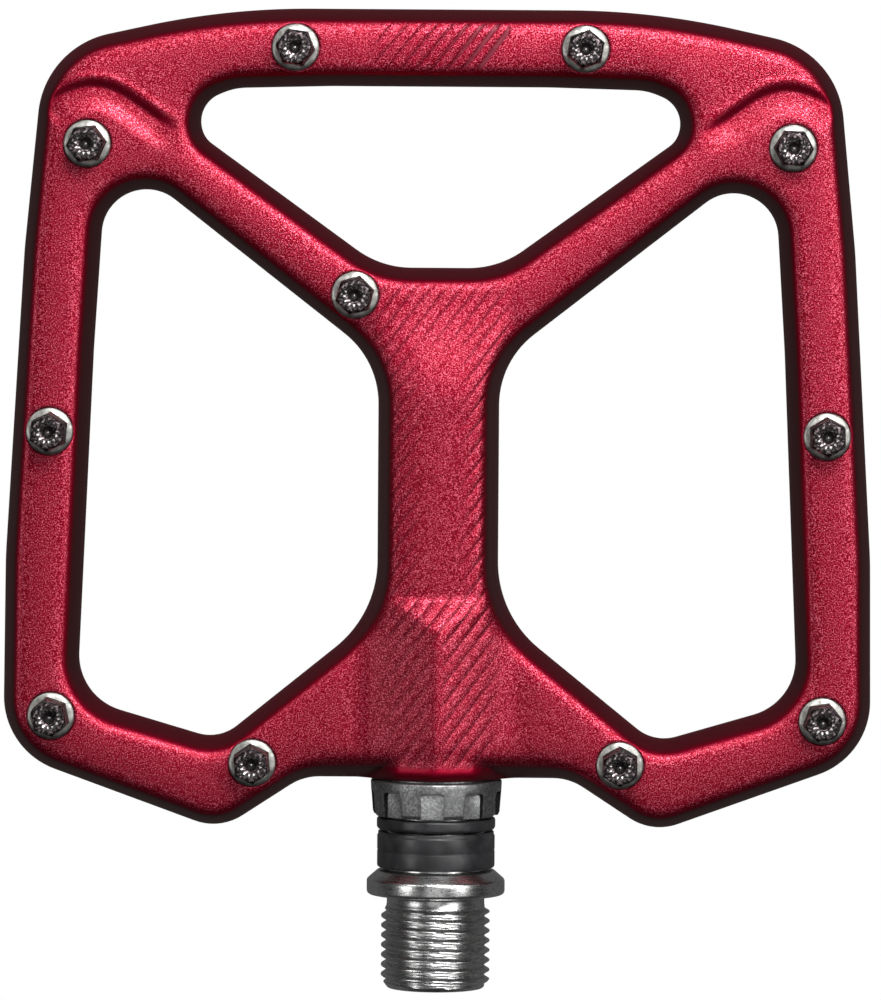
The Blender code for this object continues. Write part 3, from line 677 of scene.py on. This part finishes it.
def body_mesh():
    verts, edges = [], []

    def add_path(points, closed):
        start = len(verts)
        verts.extend((float(p[0]), float(p[1])) for p in points)
        n = len(points)
        edges.extend((start + i, start + i + 1) for i in range(n - 1))
        if closed:
            edges.append((start + n - 1, start))

    for number, loop in enumerate(LOOPS):
        add_path(loop[:, :2], True)
        for inset in RINGS:
            grow = -inset if number == 0 else inset
            add_path(loop[:, :2] + loop[:, 2:] * grow, True)
    for cx, cy in pins_on_top() + [(-PIN_SINGLE[0], PIN_SINGLE[1])]:
        single = (cx, cy) == PIN_SINGLE
        if (cx, cy) == (-PIN_SINGLE[0], PIN_SINGLE[1]):
            continue
        for r in ([PIN_HOLE_R] if not single else [PIN_HOLE_R]) + [PIN_HOLE_R + 0.02, PIN_SEAT_R, PIN_SEAT_R + 0.02, PIN_SEAT_R + 0.09, PIN_SEAT_R + 0.3]:
            n = 32 if r < 3 else 56
            ring = [(cx + r * math.cos(2 * math.pi * k / n), cy + r * math.sin(2 * math.pi * k / n)) for k in range(n)]
            add_path(ring, True)
    for mirror in (1, -1):
        line = VALLEY_LINE
        step = np.gradient(line, axis=0)
        step /= np.linalg.norm(step, axis=1)[:, None]
        normal = np.column_stack([step[:, 1], -step[:, 0]])
        for s in (0.0, 0.25, 0.5, 0.75, 1.0, 1.25, 1.45, 1.65, 1.9, 2.3, 2.8, -0.3, -0.7, -1.2, -1.8, -2.5, -3.2, -3.9):
            path = line + normal * s
            gap, ok = edge_distance(path)
            path = path[ok & (gap > 0.9)]
            if len(path) > 1:
                add_path(path * np.array([mirror, 1]), False)

    # engraved lines: each gets its edges and floor
    def hatch_path(v, clip):
        us = np.arange(0.0, 130.0, 0.55)
        pts = np.column_stack([us * HATCH_U[0] + v * HATCH_N[0], us * HATCH_U[1] + v * HATCH_N[1]])
        keep = clip(pts)
        run = []
        for p, k in zip(pts, keep):
            if k:
                run.append(p)
            elif run:
                if len(run) > 1:
                    add_path(run, False)
                run = []
        if len(run) > 1:
            add_path(run, False)

    def in_spine(pts):
        gap, ok = edge_distance(pts)
        x, y = pts[:, 0], pts[:, 1]
        return ok & (gap > 1.2) & (x > -9.6) & (x < 10.6) & (y > 16.0) & (y < 80.6)

    def in_bar(pts):
        gap, ok = edge_distance(pts)
        x, y = pts[:, 0], pts[:, 1]
        return ok & (gap > 1.2) & (np.abs(x) < 9.6) & (y > 106.2) & (y < 113.0)

    for k in range(-40, 90):
        v = k * HATCH_PITCH + HATCH_START
        for o in (-0.26, -0.13, 0.0, 0.13, 0.26):
            hatch_path(v + o, in_spine)
        for o in (-0.44, -0.32, 0.32, 0.44):
            hatch_path(v + o, lambda p: in_spine(p) & (p[:, 0] < -0.2) & (p[:, 1] < 35.5))
        for side in (-1, 1):
            for lip in (0.0, 0.06):
                us = np.arange(0.0, 130.0, 0.4)
                pts = np.column_stack([us * HATCH_U[0] + v * HATCH_N[0], us * HATCH_U[1] + v * HATCH_N[1]])
                pts = pts[in_bar(pts)]
                if len(pts) > 1:
                    half = 0.09 + 0.27 * smoothstep(-8.6, 8.5, pts[:, 0]) ** 1.5 - lip
                    add_path(pts + np.outer(half * side, HATCH_N), False)

    # the rest is an even field of points
    gx, gy = np.meshgrid(np.arange(-56, 56.5, 0.8), np.arange(6, 116, 0.7))
    gx[::2] += 0.4
    field = np.column_stack([gx.ravel(), gy.ravel()])
    gap, ok = edge_distance(field)
    field = field[ok & (gap > 3.7)]
    clear = np.ones(len(field), bool)
    for cx, cy in pins_on_top():
        clear &= np.hypot(field[:, 0] - cx, field[:, 1] - cy) > PIN_SEAT_R + 0.6
    on_hatch = (np.abs(field[:, 0]) < 9.4) & (field[:, 1] > 16) & (field[:, 1] < 80.6)
    clear &= ~on_hatch
    field = field[clear]
    # a finer field in the hatched area, where the lines already hold most points
    hx, hy = np.meshgrid(np.arange(-9.6, 9.7, 0.6), np.arange(15.9, 81.0, 0.6))
    fine = np.column_stack([hx.ravel(), hy.ravel()])
    gap, ok = edge_distance(fine)
    phase = (fine @ np.array(HATCH_N)) / HATCH_PITCH
    off = np.abs(phase - np.round(phase)) * HATCH_PITCH
    fine = fine[ok & (gap > 2.9) & (off > 0.32)]
    keep = np.ones(len(fine), bool)
    for cx, cy in pins_on_top():
        keep &= np.hypot(fine[:, 0] - cx, fine[:, 1] - cy) > PIN_SEAT_R + 0.45
    fine = fine[keep]
    # the hub's flanks and the front edge curve fast
    fx, fy = np.meshgrid(np.array([-11.2, -10.5, -9.9, 9.9, 10.5, 11.2]), np.arange(15.6, 39.0, 0.6))
    flank = np.column_stack([fx.ravel(), fy.ravel()])
    lx, ly = np.meshgrid(np.arange(-11.2, 11.3, 0.7), np.array([15.2, 15.32, 15.5, 15.75, 16.1, 16.6]))
    lipf = np.column_stack([lx.ravel(), ly.ravel()])
    for extra in (field, fine, flank, lipf):
        verts.extend((float(p[0]), float(p[1])) for p in extra)

    out = delaunay_2d_cdt([Vector(v) for v in verts], edges, [], 0, 1e-5, False)
    pts = np.array([(v.x, v.y) for v in out[0]])
    tris = np.array([f for f in out[2] if len(f) == 3], int)
    mid = pts[tris].mean(1)
    _, inside = edge_distance(mid)
    for cx, cy in pins_on_top()[:-1]:
        inside &= np.hypot(mid[:, 0] - cx, mid[:, 1] - cy) > PIN_HOLE_R - 0.005
    tris = tris[inside]
    used = np.unique(tris)
    remap = np.full(len(pts), -1)
    remap[used] = np.arange(len(used))
    pts, tris = pts[used], remap[tris]
    a, b, c = pts[tris[:, 0]], pts[tris[:, 1]], pts[tris[:, 2]]
    area = (b[:, 0] - a[:, 0]) * (c[:, 1] - a[:, 1]) - (b[:, 1] - a[:, 1]) * (c[:, 0] - a[:, 0])
    flip = area < 0
    tris[flip] = tris[flip][:, ::-1]

    # rim vertices lie on a boundary edge of the triangulation
    pairs = np.sort(np.vstack([tris[:, [0, 1]], tris[:, [1, 2]], tris[:, [2, 0]]]), axis=1)
    unique, counts = np.unique(pairs, axis=0, return_counts=True)
    rim_edges = unique[counts == 1]
    rim = np.zeros(len(pts), bool)
    rim[rim_edges.ravel()] = True

    d, _ = edge_distance(pts)
    z, etch_and_painted_shade = skin(pts, d)
    mouth = rim & (np.abs(pts[:, 1] - MOUTH_Y) < 1e-4) & (np.abs(pts[:, 0]) < HUB_HALF - 1e-4)
    z[rim & ~mouth] = 0.0
    upper = np.column_stack([pts, z])
    lower = upper * np.array([-1, 1, -1])
    count = len(upper)
    # the lower rim is the upper one turned over: join the two where they meet
    shared = np.flatnonzero(rim & ~mouth)
    where = {}
    for i in shared:
        where.setdefault((round(pts[i, 0], 2), round(pts[i, 1], 2)), []).append(i)
    target = np.arange(count) + count
    missing = 0
    for i in shared:                       # lower copy of i sits at (-x, y)
        x, y = -pts[i, 0], pts[i, 1]
        found = None
        for dx in (0, -0.01, 0.01):
            for dy in (0, -0.01, 0.01):
                for j in where.get((round(round(x, 2) + dx, 2), round(round(y, 2) + dy, 2)), []):
                    if abs(pts[j, 0] - x) < 2e-4 and abs(pts[j, 1] - y) < 2e-4:
                        found = j
        if found is None:
            missing += 1
        else:
            target[i] = found
    print("body rim", len(shared), "unmatched", missing)
    points = np.vstack([upper, lower])
    faces = [tuple(t) for t in tris] + [tuple(target[t]) for t in tris]
    tones = np.concatenate([etch_and_painted_shade, etch_and_painted_shade])

    # front face of the hub, between the two skins and round the bore
    m = np.flatnonzero(mouth)
    m = m[np.argsort(pts[m, 0])]
    tip_left = shared[np.argmin(np.hypot(pts[shared, 0] + HUB_HALF, pts[shared, 1] - MOUTH_Y))]
    tip_right = shared[np.argmin(np.hypot(pts[shared, 0] - HUB_HALF, pts[shared, 1] - MOUTH_Y))]
    rim_loop = [tip_left] + list(m) + [tip_right] + [count + i for i in m]
    # the lower copies of m, in the same index order, run from +x to -x
    coords = [(points[i][0], points[i][2]) for i in rim_loop]
    segs = 72
    bore = [(7.55, MOUTH_Y), (7.55, 21.0), (6.9, 21.02), (6.9, 34.4), (5.8, 34.42), (5.8, 65.4), (4.6, 65.42), (4.6, 72.5), (1.2, 75.0)]
    base = len(points)
    rings = []
    for r, y in bore:
        ring = [(r * math.sin(2 * math.pi * k / segs), y, r * math.cos(2 * math.pi * k / segs)) for k in range(segs)]
        rings.append(list(range(base, base + segs)))
        base += segs
        points = np.vstack([points, ring])
    points = np.vstack([points, [(0, 75.2, 0)]])
    tones = np.concatenate([tones, np.zeros(len(points) - len(tones))])
    hole = [(points[i][0], points[i][2]) for i in rings[0]]
    n, h = len(coords), len(hole)
    flat = delaunay_2d_cdt(
        [Vector(c) for c in coords + hole],
        [(i, (i + 1) % n) for i in range(n)] + [(n + i, n + (i + 1) % h) for i in range(h)],
        [], 0, 1e-6, True,
    )
    index = list(rim_loop) + list(rings[0])
    back = [index[ids[0]] if ids else None for ids in flat[3]]
    outline = np.array(coords)
    for tri in flat[2]:
        cx = sum(flat[0][i].x for i in tri) / 3
        cz = sum(flat[0][i].y for i in tri) / 3
        if math.hypot(cx, cz) < 7.55 * math.cos(math.pi / segs) - 1e-4:
            continue
        px, pz = outline[:, 0], outline[:, 1]
        qx, qz = np.roll(px, -1), np.roll(pz, -1)
        crossing = ((pz > cz) != (qz > cz)) & (cx < (qx - px) * (cz - pz) / np.where(qz == pz, 1e-12, qz - pz) + px)
        if crossing.sum() % 2 == 0:
            continue
        ids = [back[i] for i in tri]
        if None in ids:
            continue
        p = [points[i] for i in ids]
        turn = (p[1][0] - p[0][0]) * (p[2][2] - p[0][2]) - (p[1][2] - p[0][2]) * (p[2][0] - p[0][0])
        faces.append(tuple(ids) if turn > 0 else tuple(reversed(ids)))
    for near, far in zip(rings, rings[1:]):
        for k in range(segs):
            faces.append((near[k], near[(k + 1) % segs], far[(k + 1) % segs], far[k]))
    last = len(points) - 1
    for k in range(segs):
        faces.append((rings[-1][k], rings[-1][(k + 1) % segs], last))

    # drop the lower copies that were joined to the upper rim
    used = np.zeros(len(points), bool)
    for f in faces:
        for i in f:
            used[i] = True
    remap = np.cumsum(used) - 1
    faces = [tuple(int(remap[i]) for i in f) for f in faces]
    points, tones = points[used], tones[used]
    mesh = mesh_from("platform_body_skin", points * MM, faces)
    grain = smoothstep(1.5, 2.2, np.concatenate([edge_distance(points[:, :2])[0]]))
    grain = grain * (1 - 0.9 * valley_band(points[:, 0], points[:, 1]))
    below = points[:, 1] < MOUTH_Y + 0.05
    grain[below & (np.abs(points[:, 0]) < HUB_HALF)] = 0.0
    for label, values in (("etch_and_painted_shade", tones), ("grain", grain)):
        attribute = mesh.attributes.new(label, "FLOAT", "POINT")
        attribute.data.foreach_set("value", np.asarray(values, np.float32)[:len(mesh.vertices)])
    return mesh


body = make_object("body_forging", body_mesh(), [RED], 40.0)
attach(body, "platform")
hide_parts("platform_body")


# ---------------------------------------------------------------- turned pieces
def stack(name, rows, closed_ring, materials, sharp=35.0, face_material=None):
    """A piece made of rings of equal length. Each row is an array of (x, y, z)
    points, or one single point for a pole at the start or end."""
    points, index = [], []
    for row in rows:
        row = np.atleast_2d(np.asarray(row, float))
        index.append(list(range(len(points), len(points) + len(row))))
        points.extend(row.tolist())
    faces, owner = [], []
    spans = list(zip(index, index[1:])) + ([(index[-1], index[0])] if closed_ring else [])
    for number, (a, b) in enumerate(spans):
        n = max(len(a), len(b))
        for k in range(n):
            j = (k + 1) % n
            if len(a) == 1:
                faces.append((a[0], b[j], b[k]))
            elif len(b) == 1:
                faces.append((a[k], a[j], b[0]))
            else:
                faces.append((a[k], a[j], b[j], b[k]))
            owner.append(number)
    mesh = mesh_from(name, np.array(points) * MM, faces)
    bm = bmesh.new()
    bm.from_mesh(mesh)
    bmesh.ops.recalc_face_normals(bm, faces=bm.faces)
    bm.to_mesh(mesh)
    bm.free()
    if face_material:
        for polygon, number in zip(mesh.polygons, owner):
            polygon.material_index = face_material(number)
    return make_object(name, mesh, materials, sharp)


def about_y(r, y, segments, turn=0.0):
    """A ring about the spindle axis; R may vary round it."""
    a = 2 * np.pi * np.arange(segments) / segments + turn
    r = np.broadcast_to(np.asarray(r, float), a.shape)
    y = np.broadcast_to(np.asarray(y, float), a.shape)
    return np.column_stack([r * np.sin(a), y, r * np.cos(a)])


def eased(profile, sizes, steps=3):
    """A closed profile of (r, y) corners, each rounded by its own size."""
    out = []
    count = len(profile)
    for i, (p, size) in enumerate(zip(profile, sizes)):
        p = Vector(p)
        a, b = Vector(profile[i - 1]) - p, Vector(profile[(i + 1) % count]) - p
        cut = min(size, a.length * 0.45, b.length * 0.45)
        if cut < 1e-4:
            out.append((p.x, p.y))
            continue
        start, end = p + a.normalized() * cut, p + b.normalized() * cut
        for k in range(steps + 1):
            t = k / steps
            q = start * (1 - t) ** 2 + p * 2 * t * (1 - t) + end * t * t
            out.append((q.x, q.y))
    return out


def turned_ring(name, profile, sizes, materials, segments=112, sharp=35.0):
    rows = [about_y(r, y, segments) for r, y in eased(profile, sizes)]
    return stack(name, rows, True, materials, sharp)


# dust sleeve and lip seal: satin black with rolled edges and a parting groove
sleeve = turned_ring(
    "dust_sleeve_moulded",
    [(7.28, 8.2), (7.50, 8.2), (7.50, 7.78), (7.62, 7.66), (7.62, 5.9), (7.58, 5.9), (7.58, 5.6), (7.62, 5.6), (7.62, 3.7), (7.42, 3.5), (6.72, 3.5), (6.72, 8.2)],
    [0.05, 0.1, 0.1, 0.12, 0.02, 0.01, 0.01, 0.02, 0.2, 0.12, 0.08, 0.08], [RUBBER],
)
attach(sleeve, "spindle_group")
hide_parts("dust_sleeve")

seal = turned_ring(
    "lip_seal_moulded",
    [(6.36, 10.0), (7.28, 10.0), (7.62, 9.9), (7.68, 9.7), (7.68, 8.78), (7.5, 8.5), (6.75, 8.5), (6.36, 9.1)],
    [0.05, 0.1, 0.1, 0.1, 0.16, 0.1, 0.08, 0.08], [RUBBER],
)
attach(seal, "platform")
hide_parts("lip_seal")

# lock collar: tapered castellated ring, nine tool slots open at its inboard end
collar_profile = [
    (7.25, 20.7), (7.25, 15.4), (7.05, 15.25), (7.05, 14.9), (8.5, 14.87), (8.46, 13.9), (8.22, 10.75), (8.0, 10.3), (6.95, 10.3), (6.4, 10.6), (6.4, 20.7),
]
collar = turned_ring("lock_collar_machined", collar_profile, [0.15, 0.05, 0.05, 0.05, 0.22, 0.0, 0.1, 0.12, 0.1, 0.05, 0.1], [ALLOY], 120)
bm = bmesh.new()
slot_outline = [(-1.475, 7.5), (1.475, 7.5)]
for corner, start in (((1.475 - 0.55, 13.55 - 0.55), 0), ((-1.475 + 0.55, 13.55 - 0.55), 90)):
    for step in range(5):
        a = math.radians(start + 22.5 * step)
        slot_outline.append((corner[0] + 0.55 * math.cos(a), corner[1] + 0.55 * math.sin(a)))
for k in range(9):
    turn = Matrix.Rotation(math.radians(-3.0 + 40.0 * k), 3, "Y")
    low = [bm.verts.new(turn @ Vector((x, y, 7.52))) for x, y in slot_outline]
    high = [bm.verts.new(turn @ Vector((x, y, 10.4))) for x, y in slot_outline]
    n = len(slot_outline)
    for i in range(n):
        bm.faces.new((low[i], low[(i + 1) % n], high[(i + 1) % n], high[i]))
    bm.faces.new(list(reversed(low)))
    bm.faces.new(high)
bmesh.ops.recalc_face_normals(bm, faces=bm.faces)
bmesh.ops.scale(bm, vec=(MM, MM, MM), verts=bm.verts)
slots_mesh = bpy.data.meshes.new("collar_slot_tool")
bm.to_mesh(slots_mesh)
bm.free()
slot_tool = bpy.data.objects.new("collar_slot_tool", slots_mesh)
bpy.context.scene.collection.objects.link(slot_tool)
cut = collar.modifiers.new("slots", "BOOLEAN")
cut.operation, cut.solver, cut.object = "DIFFERENCE", "EXACT", slot_tool
ease = collar.modifiers.new("edges", "BEVEL")
ease.width, ease.segments, ease.limit_method, ease.angle_limit = 0.00016, 2, "ANGLE", math.radians(40)
ease.use_clamp_overlap = True
bpy.context.view_layer.update()
final = bpy.data.meshes.new_from_object(collar.evaluated_get(bpy.context.evaluated_depsgraph_get()))
collar.modifiers.clear()
collar.data = final
final.name = "lock_collar_machined"
bpy.data.objects.remove(slot_tool, do_unlink=True)
final.materials.append(ALLOY_SLOT_WALL_PAINTED_SHADE)
final.materials.append(ALLOY_SLOT_FLOOR_PAINTED_LIGHT)
# slot floors take the painted light, slot walls the painted shade
for face in final.polygons:
    at, way = face.center / MM, face.normal
    out = Vector((at.x, 0, at.z))
    reach, out = out.length, out.normalized()
    if 7.4 < reach < 8.5 and at.y < 13.75:
        if reach < 7.6 and way.dot(out) > 0.9:
            face.material_index = 2
        elif abs(way.dot(out)) < 0.6 and at.y > 10.45:
            face.material_index = 1
final.shade_smooth()
final.set_sharp_from_angle(angle=math.radians(50))
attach(collar, "platform")
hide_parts("lock_collar")


# spindle: one skin from the outboard tip, over the seat and flange, along the
# helical thread, round the end face and down into the hexagon socket
def spindle_rows(segments=96):
    rows = [about_y(0, 70.9, 1)[:1]]
    outside = [
        (2.2, 70.9), (2.32, 70.84), (2.5, 70.6), (2.5, 59.75), (2.56, 59.7), (3.3, 59.7), (3.45, 59.55), (3.5, 59.3),
        (4.1, 36.5), (4.6, 34.6), (5.3, 32.6), (5.6, 32.0), (5.9, 31.6), (6.0, 31.3), (6.0, 8.7), (6.08, 8.5), (6.32, 8.34), (6.4, 8.2), (6.4, 3.24),
        (6.46, 3.17), (7.45, 3.14), (7.62, 3.08), (7.75, 2.97), (8.72, 2.12), (8.88, 1.95), (8.945, 1.75), (8.95, 1.5), (8.95, 0.55), (8.93, 0.36), (8.84, 0.16), (8.66, 0.03), (8.5, 0.0),
        (6.75, 0.0), (6.5, -0.05), (6.36, -0.2), (6.33, -0.5), (6.33, -1.3),
    ]
    rows += [about_y(r, y, segments) for r, y in outside]
    angle = 2 * np.pi * np.arange(segments) / segments
    y = -1.4
    while y > THREAD_END + 0.02:
        # a right-hand thread: turning clockwise seen from the crank drives it in
        phase = (y / PITCH + angle / (2 * np.pi)) % 1.0
        tri = 1 - np.abs(phase - 0.5) * 2
        form = np.clip((tri - 0.12) / 0.72, 0, 1)
        form = form * form * (3 - 2 * form) * 0.25 + form * 0.75
        start = smoothstep(-1.5, -2.3, y)
        r = ROOT_R + (THREAD_R - ROOT_R) * form * start
        taper = THREAD_R - max(0.0, (THREAD_END + 1.15) - y) * 0.75
        rows.append(about_y(np.minimum(r, taper), y, segments))
        y -= 0.09
    rows.append(about_y(6.15, THREAD_END + 0.02, segments))
    rows.append(about_y(5.95, THREAD_END, segments))
    rows.append(about_y(5.0, THREAD_END, segments))
    sector = np.pi / 3
    local = (angle % sector) - sector / 2
    hexagon = 4.0 / np.cos(local)
    rows.append(about_y(np.minimum(hexagon + 0.28, 4.86), THREAD_END, segments))
    rows.append(about_y(hexagon, THREAD_END + 0.32, segments))
    for depth in (2.0, 4.5, 7.0, 8.5):
        rows.append(about_y(hexagon, THREAD_END + depth, segments))
    rows.append(about_y(3.4, THREAD_END + 8.52, segments))
    rows.append(about_y(2.0, THREAD_END + 9.2, segments))
    rows.append(about_y(0, THREAD_END + 10.1, 1)[:1])
    return rows


spindle = stack("spindle_machined", spindle_rows(), False, [STEEL], 38.0)
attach(spindle, "spindle_group")
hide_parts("spindle")


# ---------------------------------------------------------------- grip pins
def pin_rows(segments=96):
    """Threaded shank, round flange, hexagon with a turned-off crown and a
    twelve-lobed driver recess."""
    a = 2 * np.pi * np.arange(segments) / segments

    def ring(r, z):
        r = np.broadcast_to(np.asarray(r, float), a.shape)
        z = np.broadcast_to(np.asarray(z, float), a.shape)
        return np.column_stack([r * np.cos(a), r * np.sin(a), z])

    sector = np.pi / 3
    local = ((a - np.pi / 2) % sector)
    local = np.minimum(local, sector - local)          # 0 over a corner
    hexagon = 2.18 / np.cos(sector / 2 - local)
    hexagon = np.minimum(hexagon, 2.49)
    lobes = np.abs(np.sin(6 * a))
    star = lambda out, into: into + (out - into) * (1 - np.abs(np.cos(6 * a)) ** 1.0)
    rows, kinds = [ring(0, 0.35)[:1]], []
    add = lambda r, z, kind: (rows.append(ring(r, z)), kinds.append(kind))
    add(1.45, 0.35, 0)
    z = 0.55
    while z < 4.75:
        add(1.62, z, 0)
        add(1.94, z + 0.28, 0)
        add(1.94, z + 0.38, 0)
        z += 0.7
    add(1.62, 4.75, 0)
    add(1.7, 5.1, 0)
    add(2.80, 5.1, 0)
    add(2.96, 5.16, 0)
    add(3.03, 5.30, 0)
    add(3.03, 5.46, 0)
    add(2.98, 5.60, 0)
    add(2.84, 5.70, 0)
    add(2.60, 5.77, 0)
    add(hexagon + 0.05, 5.83, 0)
    add(hexagon, 5.95, 4)
    add(hexagon, 9.55, 4)
    crown = 2.44 - (hexagon.max() - hexagon) * 0.0
    # the crown cone takes the corners down further than the flats
    add(hexagon, 10.12 - 0.30 * (hexagon - 2.18) / 0.33, 4)
    add(hexagon - 0.10, 10.24 - 0.30 * (hexagon - 2.18) / 0.33, 2)
    add(np.minimum(hexagon - 0.16, 2.12), 10.30, 1)
    add(np.minimum(hexagon - 0.24, 2.02), 10.38, 1)
    add(1.86, 10.40, 1)
    # in the recess, rows of kind 2 (light steel) are painted highlight and rows of kind 3 (near-black) are painted
    # shade
    add(star(1.66, 1.42), 10.40, 1)
    add(star(1.58, 1.33), 10.32, 2)
    add(star(1.54, 1.28), 9.75, 3)
    add(star(1.44, 1.20), 9.45, 2)
    add(1.12, 9.32, 2)
    add(0.80, 9.26, 1)
    add(0.74, 9.14, 3)
    add(0.36, 8.74, 3)
    add(0.17, 8.72, 3)
    add(0.14, 8.82, 2)
    add(0.08, 8.86, 2)
    rows.append(ring(0, 8.87)[:1])
    kinds.append(2)
    kinds.append(2)
    return rows, kinds


def build_pin():
    rows, kinds = pin_rows()
    slot_of = {0: 0, 1: 1, 2: 2, 3: 3, 4: 3}
    made = stack("grip_pin", rows, False, [PIN_FLANGE, PIN_BLACK, PIN_BARE_STEEL_AND_HIGHLIGHT, PIN_BLACK_AND_RECESS_SHADE], 30.0,
                 face_material=lambda n: slot_of[kinds[min(n, len(kinds) - 1)]])
    mesh = made.data
    bpy.data.objects.remove(made, do_unlink=True)
    return mesh


pin_mesh = build_pin()
for side, face in ((1, "upper"), (-1, "lower")):
    spots = [(x, y) for x, y in pins_on_top()[:-1]] + [(side * PIN_SINGLE[0], PIN_SINGLE[1])]
    for number, ((x, y), turn) in enumerate(zip(spots, PIN_TURNS), 1):
        pin = bpy.data.objects.new(f"grip_pin_{face}_{number:02d}", pin_mesh)
        bpy.context.scene.collection.objects.link(pin)
        pin.location = (x * MM, y * MM, 0)
        pin.rotation_euler = (0, 0 if side > 0 else math.pi, math.radians(turn))
        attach(pin, "platform")
        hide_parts(f"pin_{face}_{number:02d}")


# ---------------------------------------------------------------- sealed pieces
def finish_node(name, mat):
    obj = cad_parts[name]
    obj.data.materials.clear()
    obj.data.materials.append(mat)


for name, mat in {
    "inboard_bush": POLYMER, "spacer_sleeve": ALLOY, "outer_race": RACE, "inner_race": RACE,
    "bearing_shield_inboard": RUBBER, "bearing_shield_outboard": RUBBER, "ball_cage": POLYMER,
    "lock_washer": STEEL, "spindle_locknut": STEEL,
}.items():
    finish_node(name, mat)
for k in range(1, 8):
    finish_node(f"bearing_ball_{k}", RACE)


# ---------------------------------------------------------------- stage
def pale_floor():
    mesh = bpy.data.meshes.new("floor")
    mesh.from_pydata([(-6, -6, 0), (6, -6, 0), (6, 6, 0), (-6, 6, 0)], [], [(0, 1, 2, 3)])
    floor = bpy.data.objects.new("studio_floor", mesh)
    floor.location = (0, 0, -0.0106)
    bpy.context.scene.collection.objects.link(floor)
    mat = bpy.data.materials.new("studio_floor_white")
    mat.use_nodes = True
    tree = mat.node_tree
    tree.nodes.clear()
    out = tree.nodes.new("ShaderNodeOutputMaterial")
    glow = tree.nodes.new("ShaderNodeEmission")
    glow.inputs["Color"].default_value = (1, 1, 1, 1)
    glow.inputs["Strength"].default_value = 1.0
    tree.links.new(glow.outputs[0], out.inputs["Surface"])
    mesh.materials.append(mat)
    floor.visible_diffuse = False
    floor.visible_glossy = False
    floor.visible_transmission = False
    floor.visible_shadow = False


pale_floor()


def area_light(name, at, aim, size, power, colour=(1, 1, 1), size_y=None):
    data = bpy.data.lights.new(name, "AREA")
    data.energy = power
    data.color = colour
    data.shape = "RECTANGLE"
    data.size = size
    data.size_y = size_y or size
    lamp = bpy.data.objects.new(name, data)
    lamp.location = at
    lamp.rotation_euler = (Vector(aim) - Vector(at)).to_track_quat("-Z", "Y").to_euler()
    bpy.context.scene.collection.objects.link(lamp)
    lamp.visible_camera = False
    return lamp


AIM = (0.0, 0.055, 0.0)
area_light("key_upper_right", (0.46, 0.50, 0.80), AIM, 0.7, 7.7)
area_light("overhead", (0.0, -0.15, 1.25), AIM, 0.7, 0.95)
area_light("top_end", (0.05, 0.34, 0.45), (0.0, 0.11, 0.0), 0.16, 1.75)
area_light("head_end", (0.10, 1.35, 0.80), AIM, 0.5, 5.0)
area_light("upper_left", (-0.85, 0.90, 0.80), AIM, 0.4, 3.0)
area_light("left_side", (-1.1, 0.02, 0.95), AIM, 0.4, 2.6)
area_light("right_side", (0.88, 0.05, 0.92), AIM, 0.4, 2.2)

world = bpy.data.worlds.new("studio_world")
bpy.context.scene.world = world
world.use_nodes = True
tree = world.node_tree
tree.nodes.clear()
out = tree.nodes.new("ShaderNodeOutputWorld")
dim = tree.nodes.new("ShaderNodeBackground")
dim.inputs["Color"].default_value = (1, 1, 1, 1)
# a dark studio above, and the glow of a pale table from below
heading = tree.nodes.new("ShaderNodeSeparateXYZ")
tree.links.new(tree.nodes.new("ShaderNodeTexCoord").outputs["Generated"], heading.inputs[0])
tree.links.new(map_range(tree, heading.outputs["Z"], -0.30, 0.10, 0.11, 0.025), dim.inputs["Strength"])
pale = tree.nodes.new("ShaderNodeBackground")
pale.inputs["Color"].default_value = (1, 1, 1, 1)
pale.inputs["Strength"].default_value = 1.0
path = tree.nodes.new("ShaderNodeLightPath")
blend = tree.nodes.new("ShaderNodeMixShader")
tree.links.new(path.outputs["Is Camera Ray"], blend.inputs[0])
tree.links.new(dim.outputs[0], blend.inputs[1])
tree.links.new(pale.outputs[0], blend.inputs[2])
tree.links.new(blend.outputs[0], out.inputs["Surface"])

bpy.context.scene.view_settings.view_transform = "Standard"
bpy.context.scene.view_settings.look = "None"

# ---------------------------------------------------------------- camera
EYE = Vector((11.0, 107.0, 1000.0)) * MM
TARGET = Vector((0.3, 51.1, 0.0)) * MM
HALF_HEIGHT = 64.65 * MM
cam = bpy.data.cameras.new("camera")
cam.sensor_width = 36.0
distance = (EYE - TARGET).length
cam.lens = 18.0 / (HALF_HEIGHT / distance)
cam.clip_start, cam.clip_end = 0.05, 20.0
eye = bpy.data.objects.new("camera", cam)
look = (TARGET - EYE).normalized()
roll = math.radians(0.38)
up = Vector((-math.sin(roll), math.cos(roll), 0.0))
right = look.cross(up).normalized()
up = right.cross(look).normalized()
eye.matrix_world = Matrix((
    (right.x, up.x, -look.x, EYE.x),
    (right.y, up.y, -look.y, EYE.y),
    (right.z, up.z, -look.z, EYE.z),
    (0, 0, 0, 1),
))
bpy.context.scene.collection.objects.link(eye)
bpy.context.scene.camera = eye
bpy.context.view_layer.update()
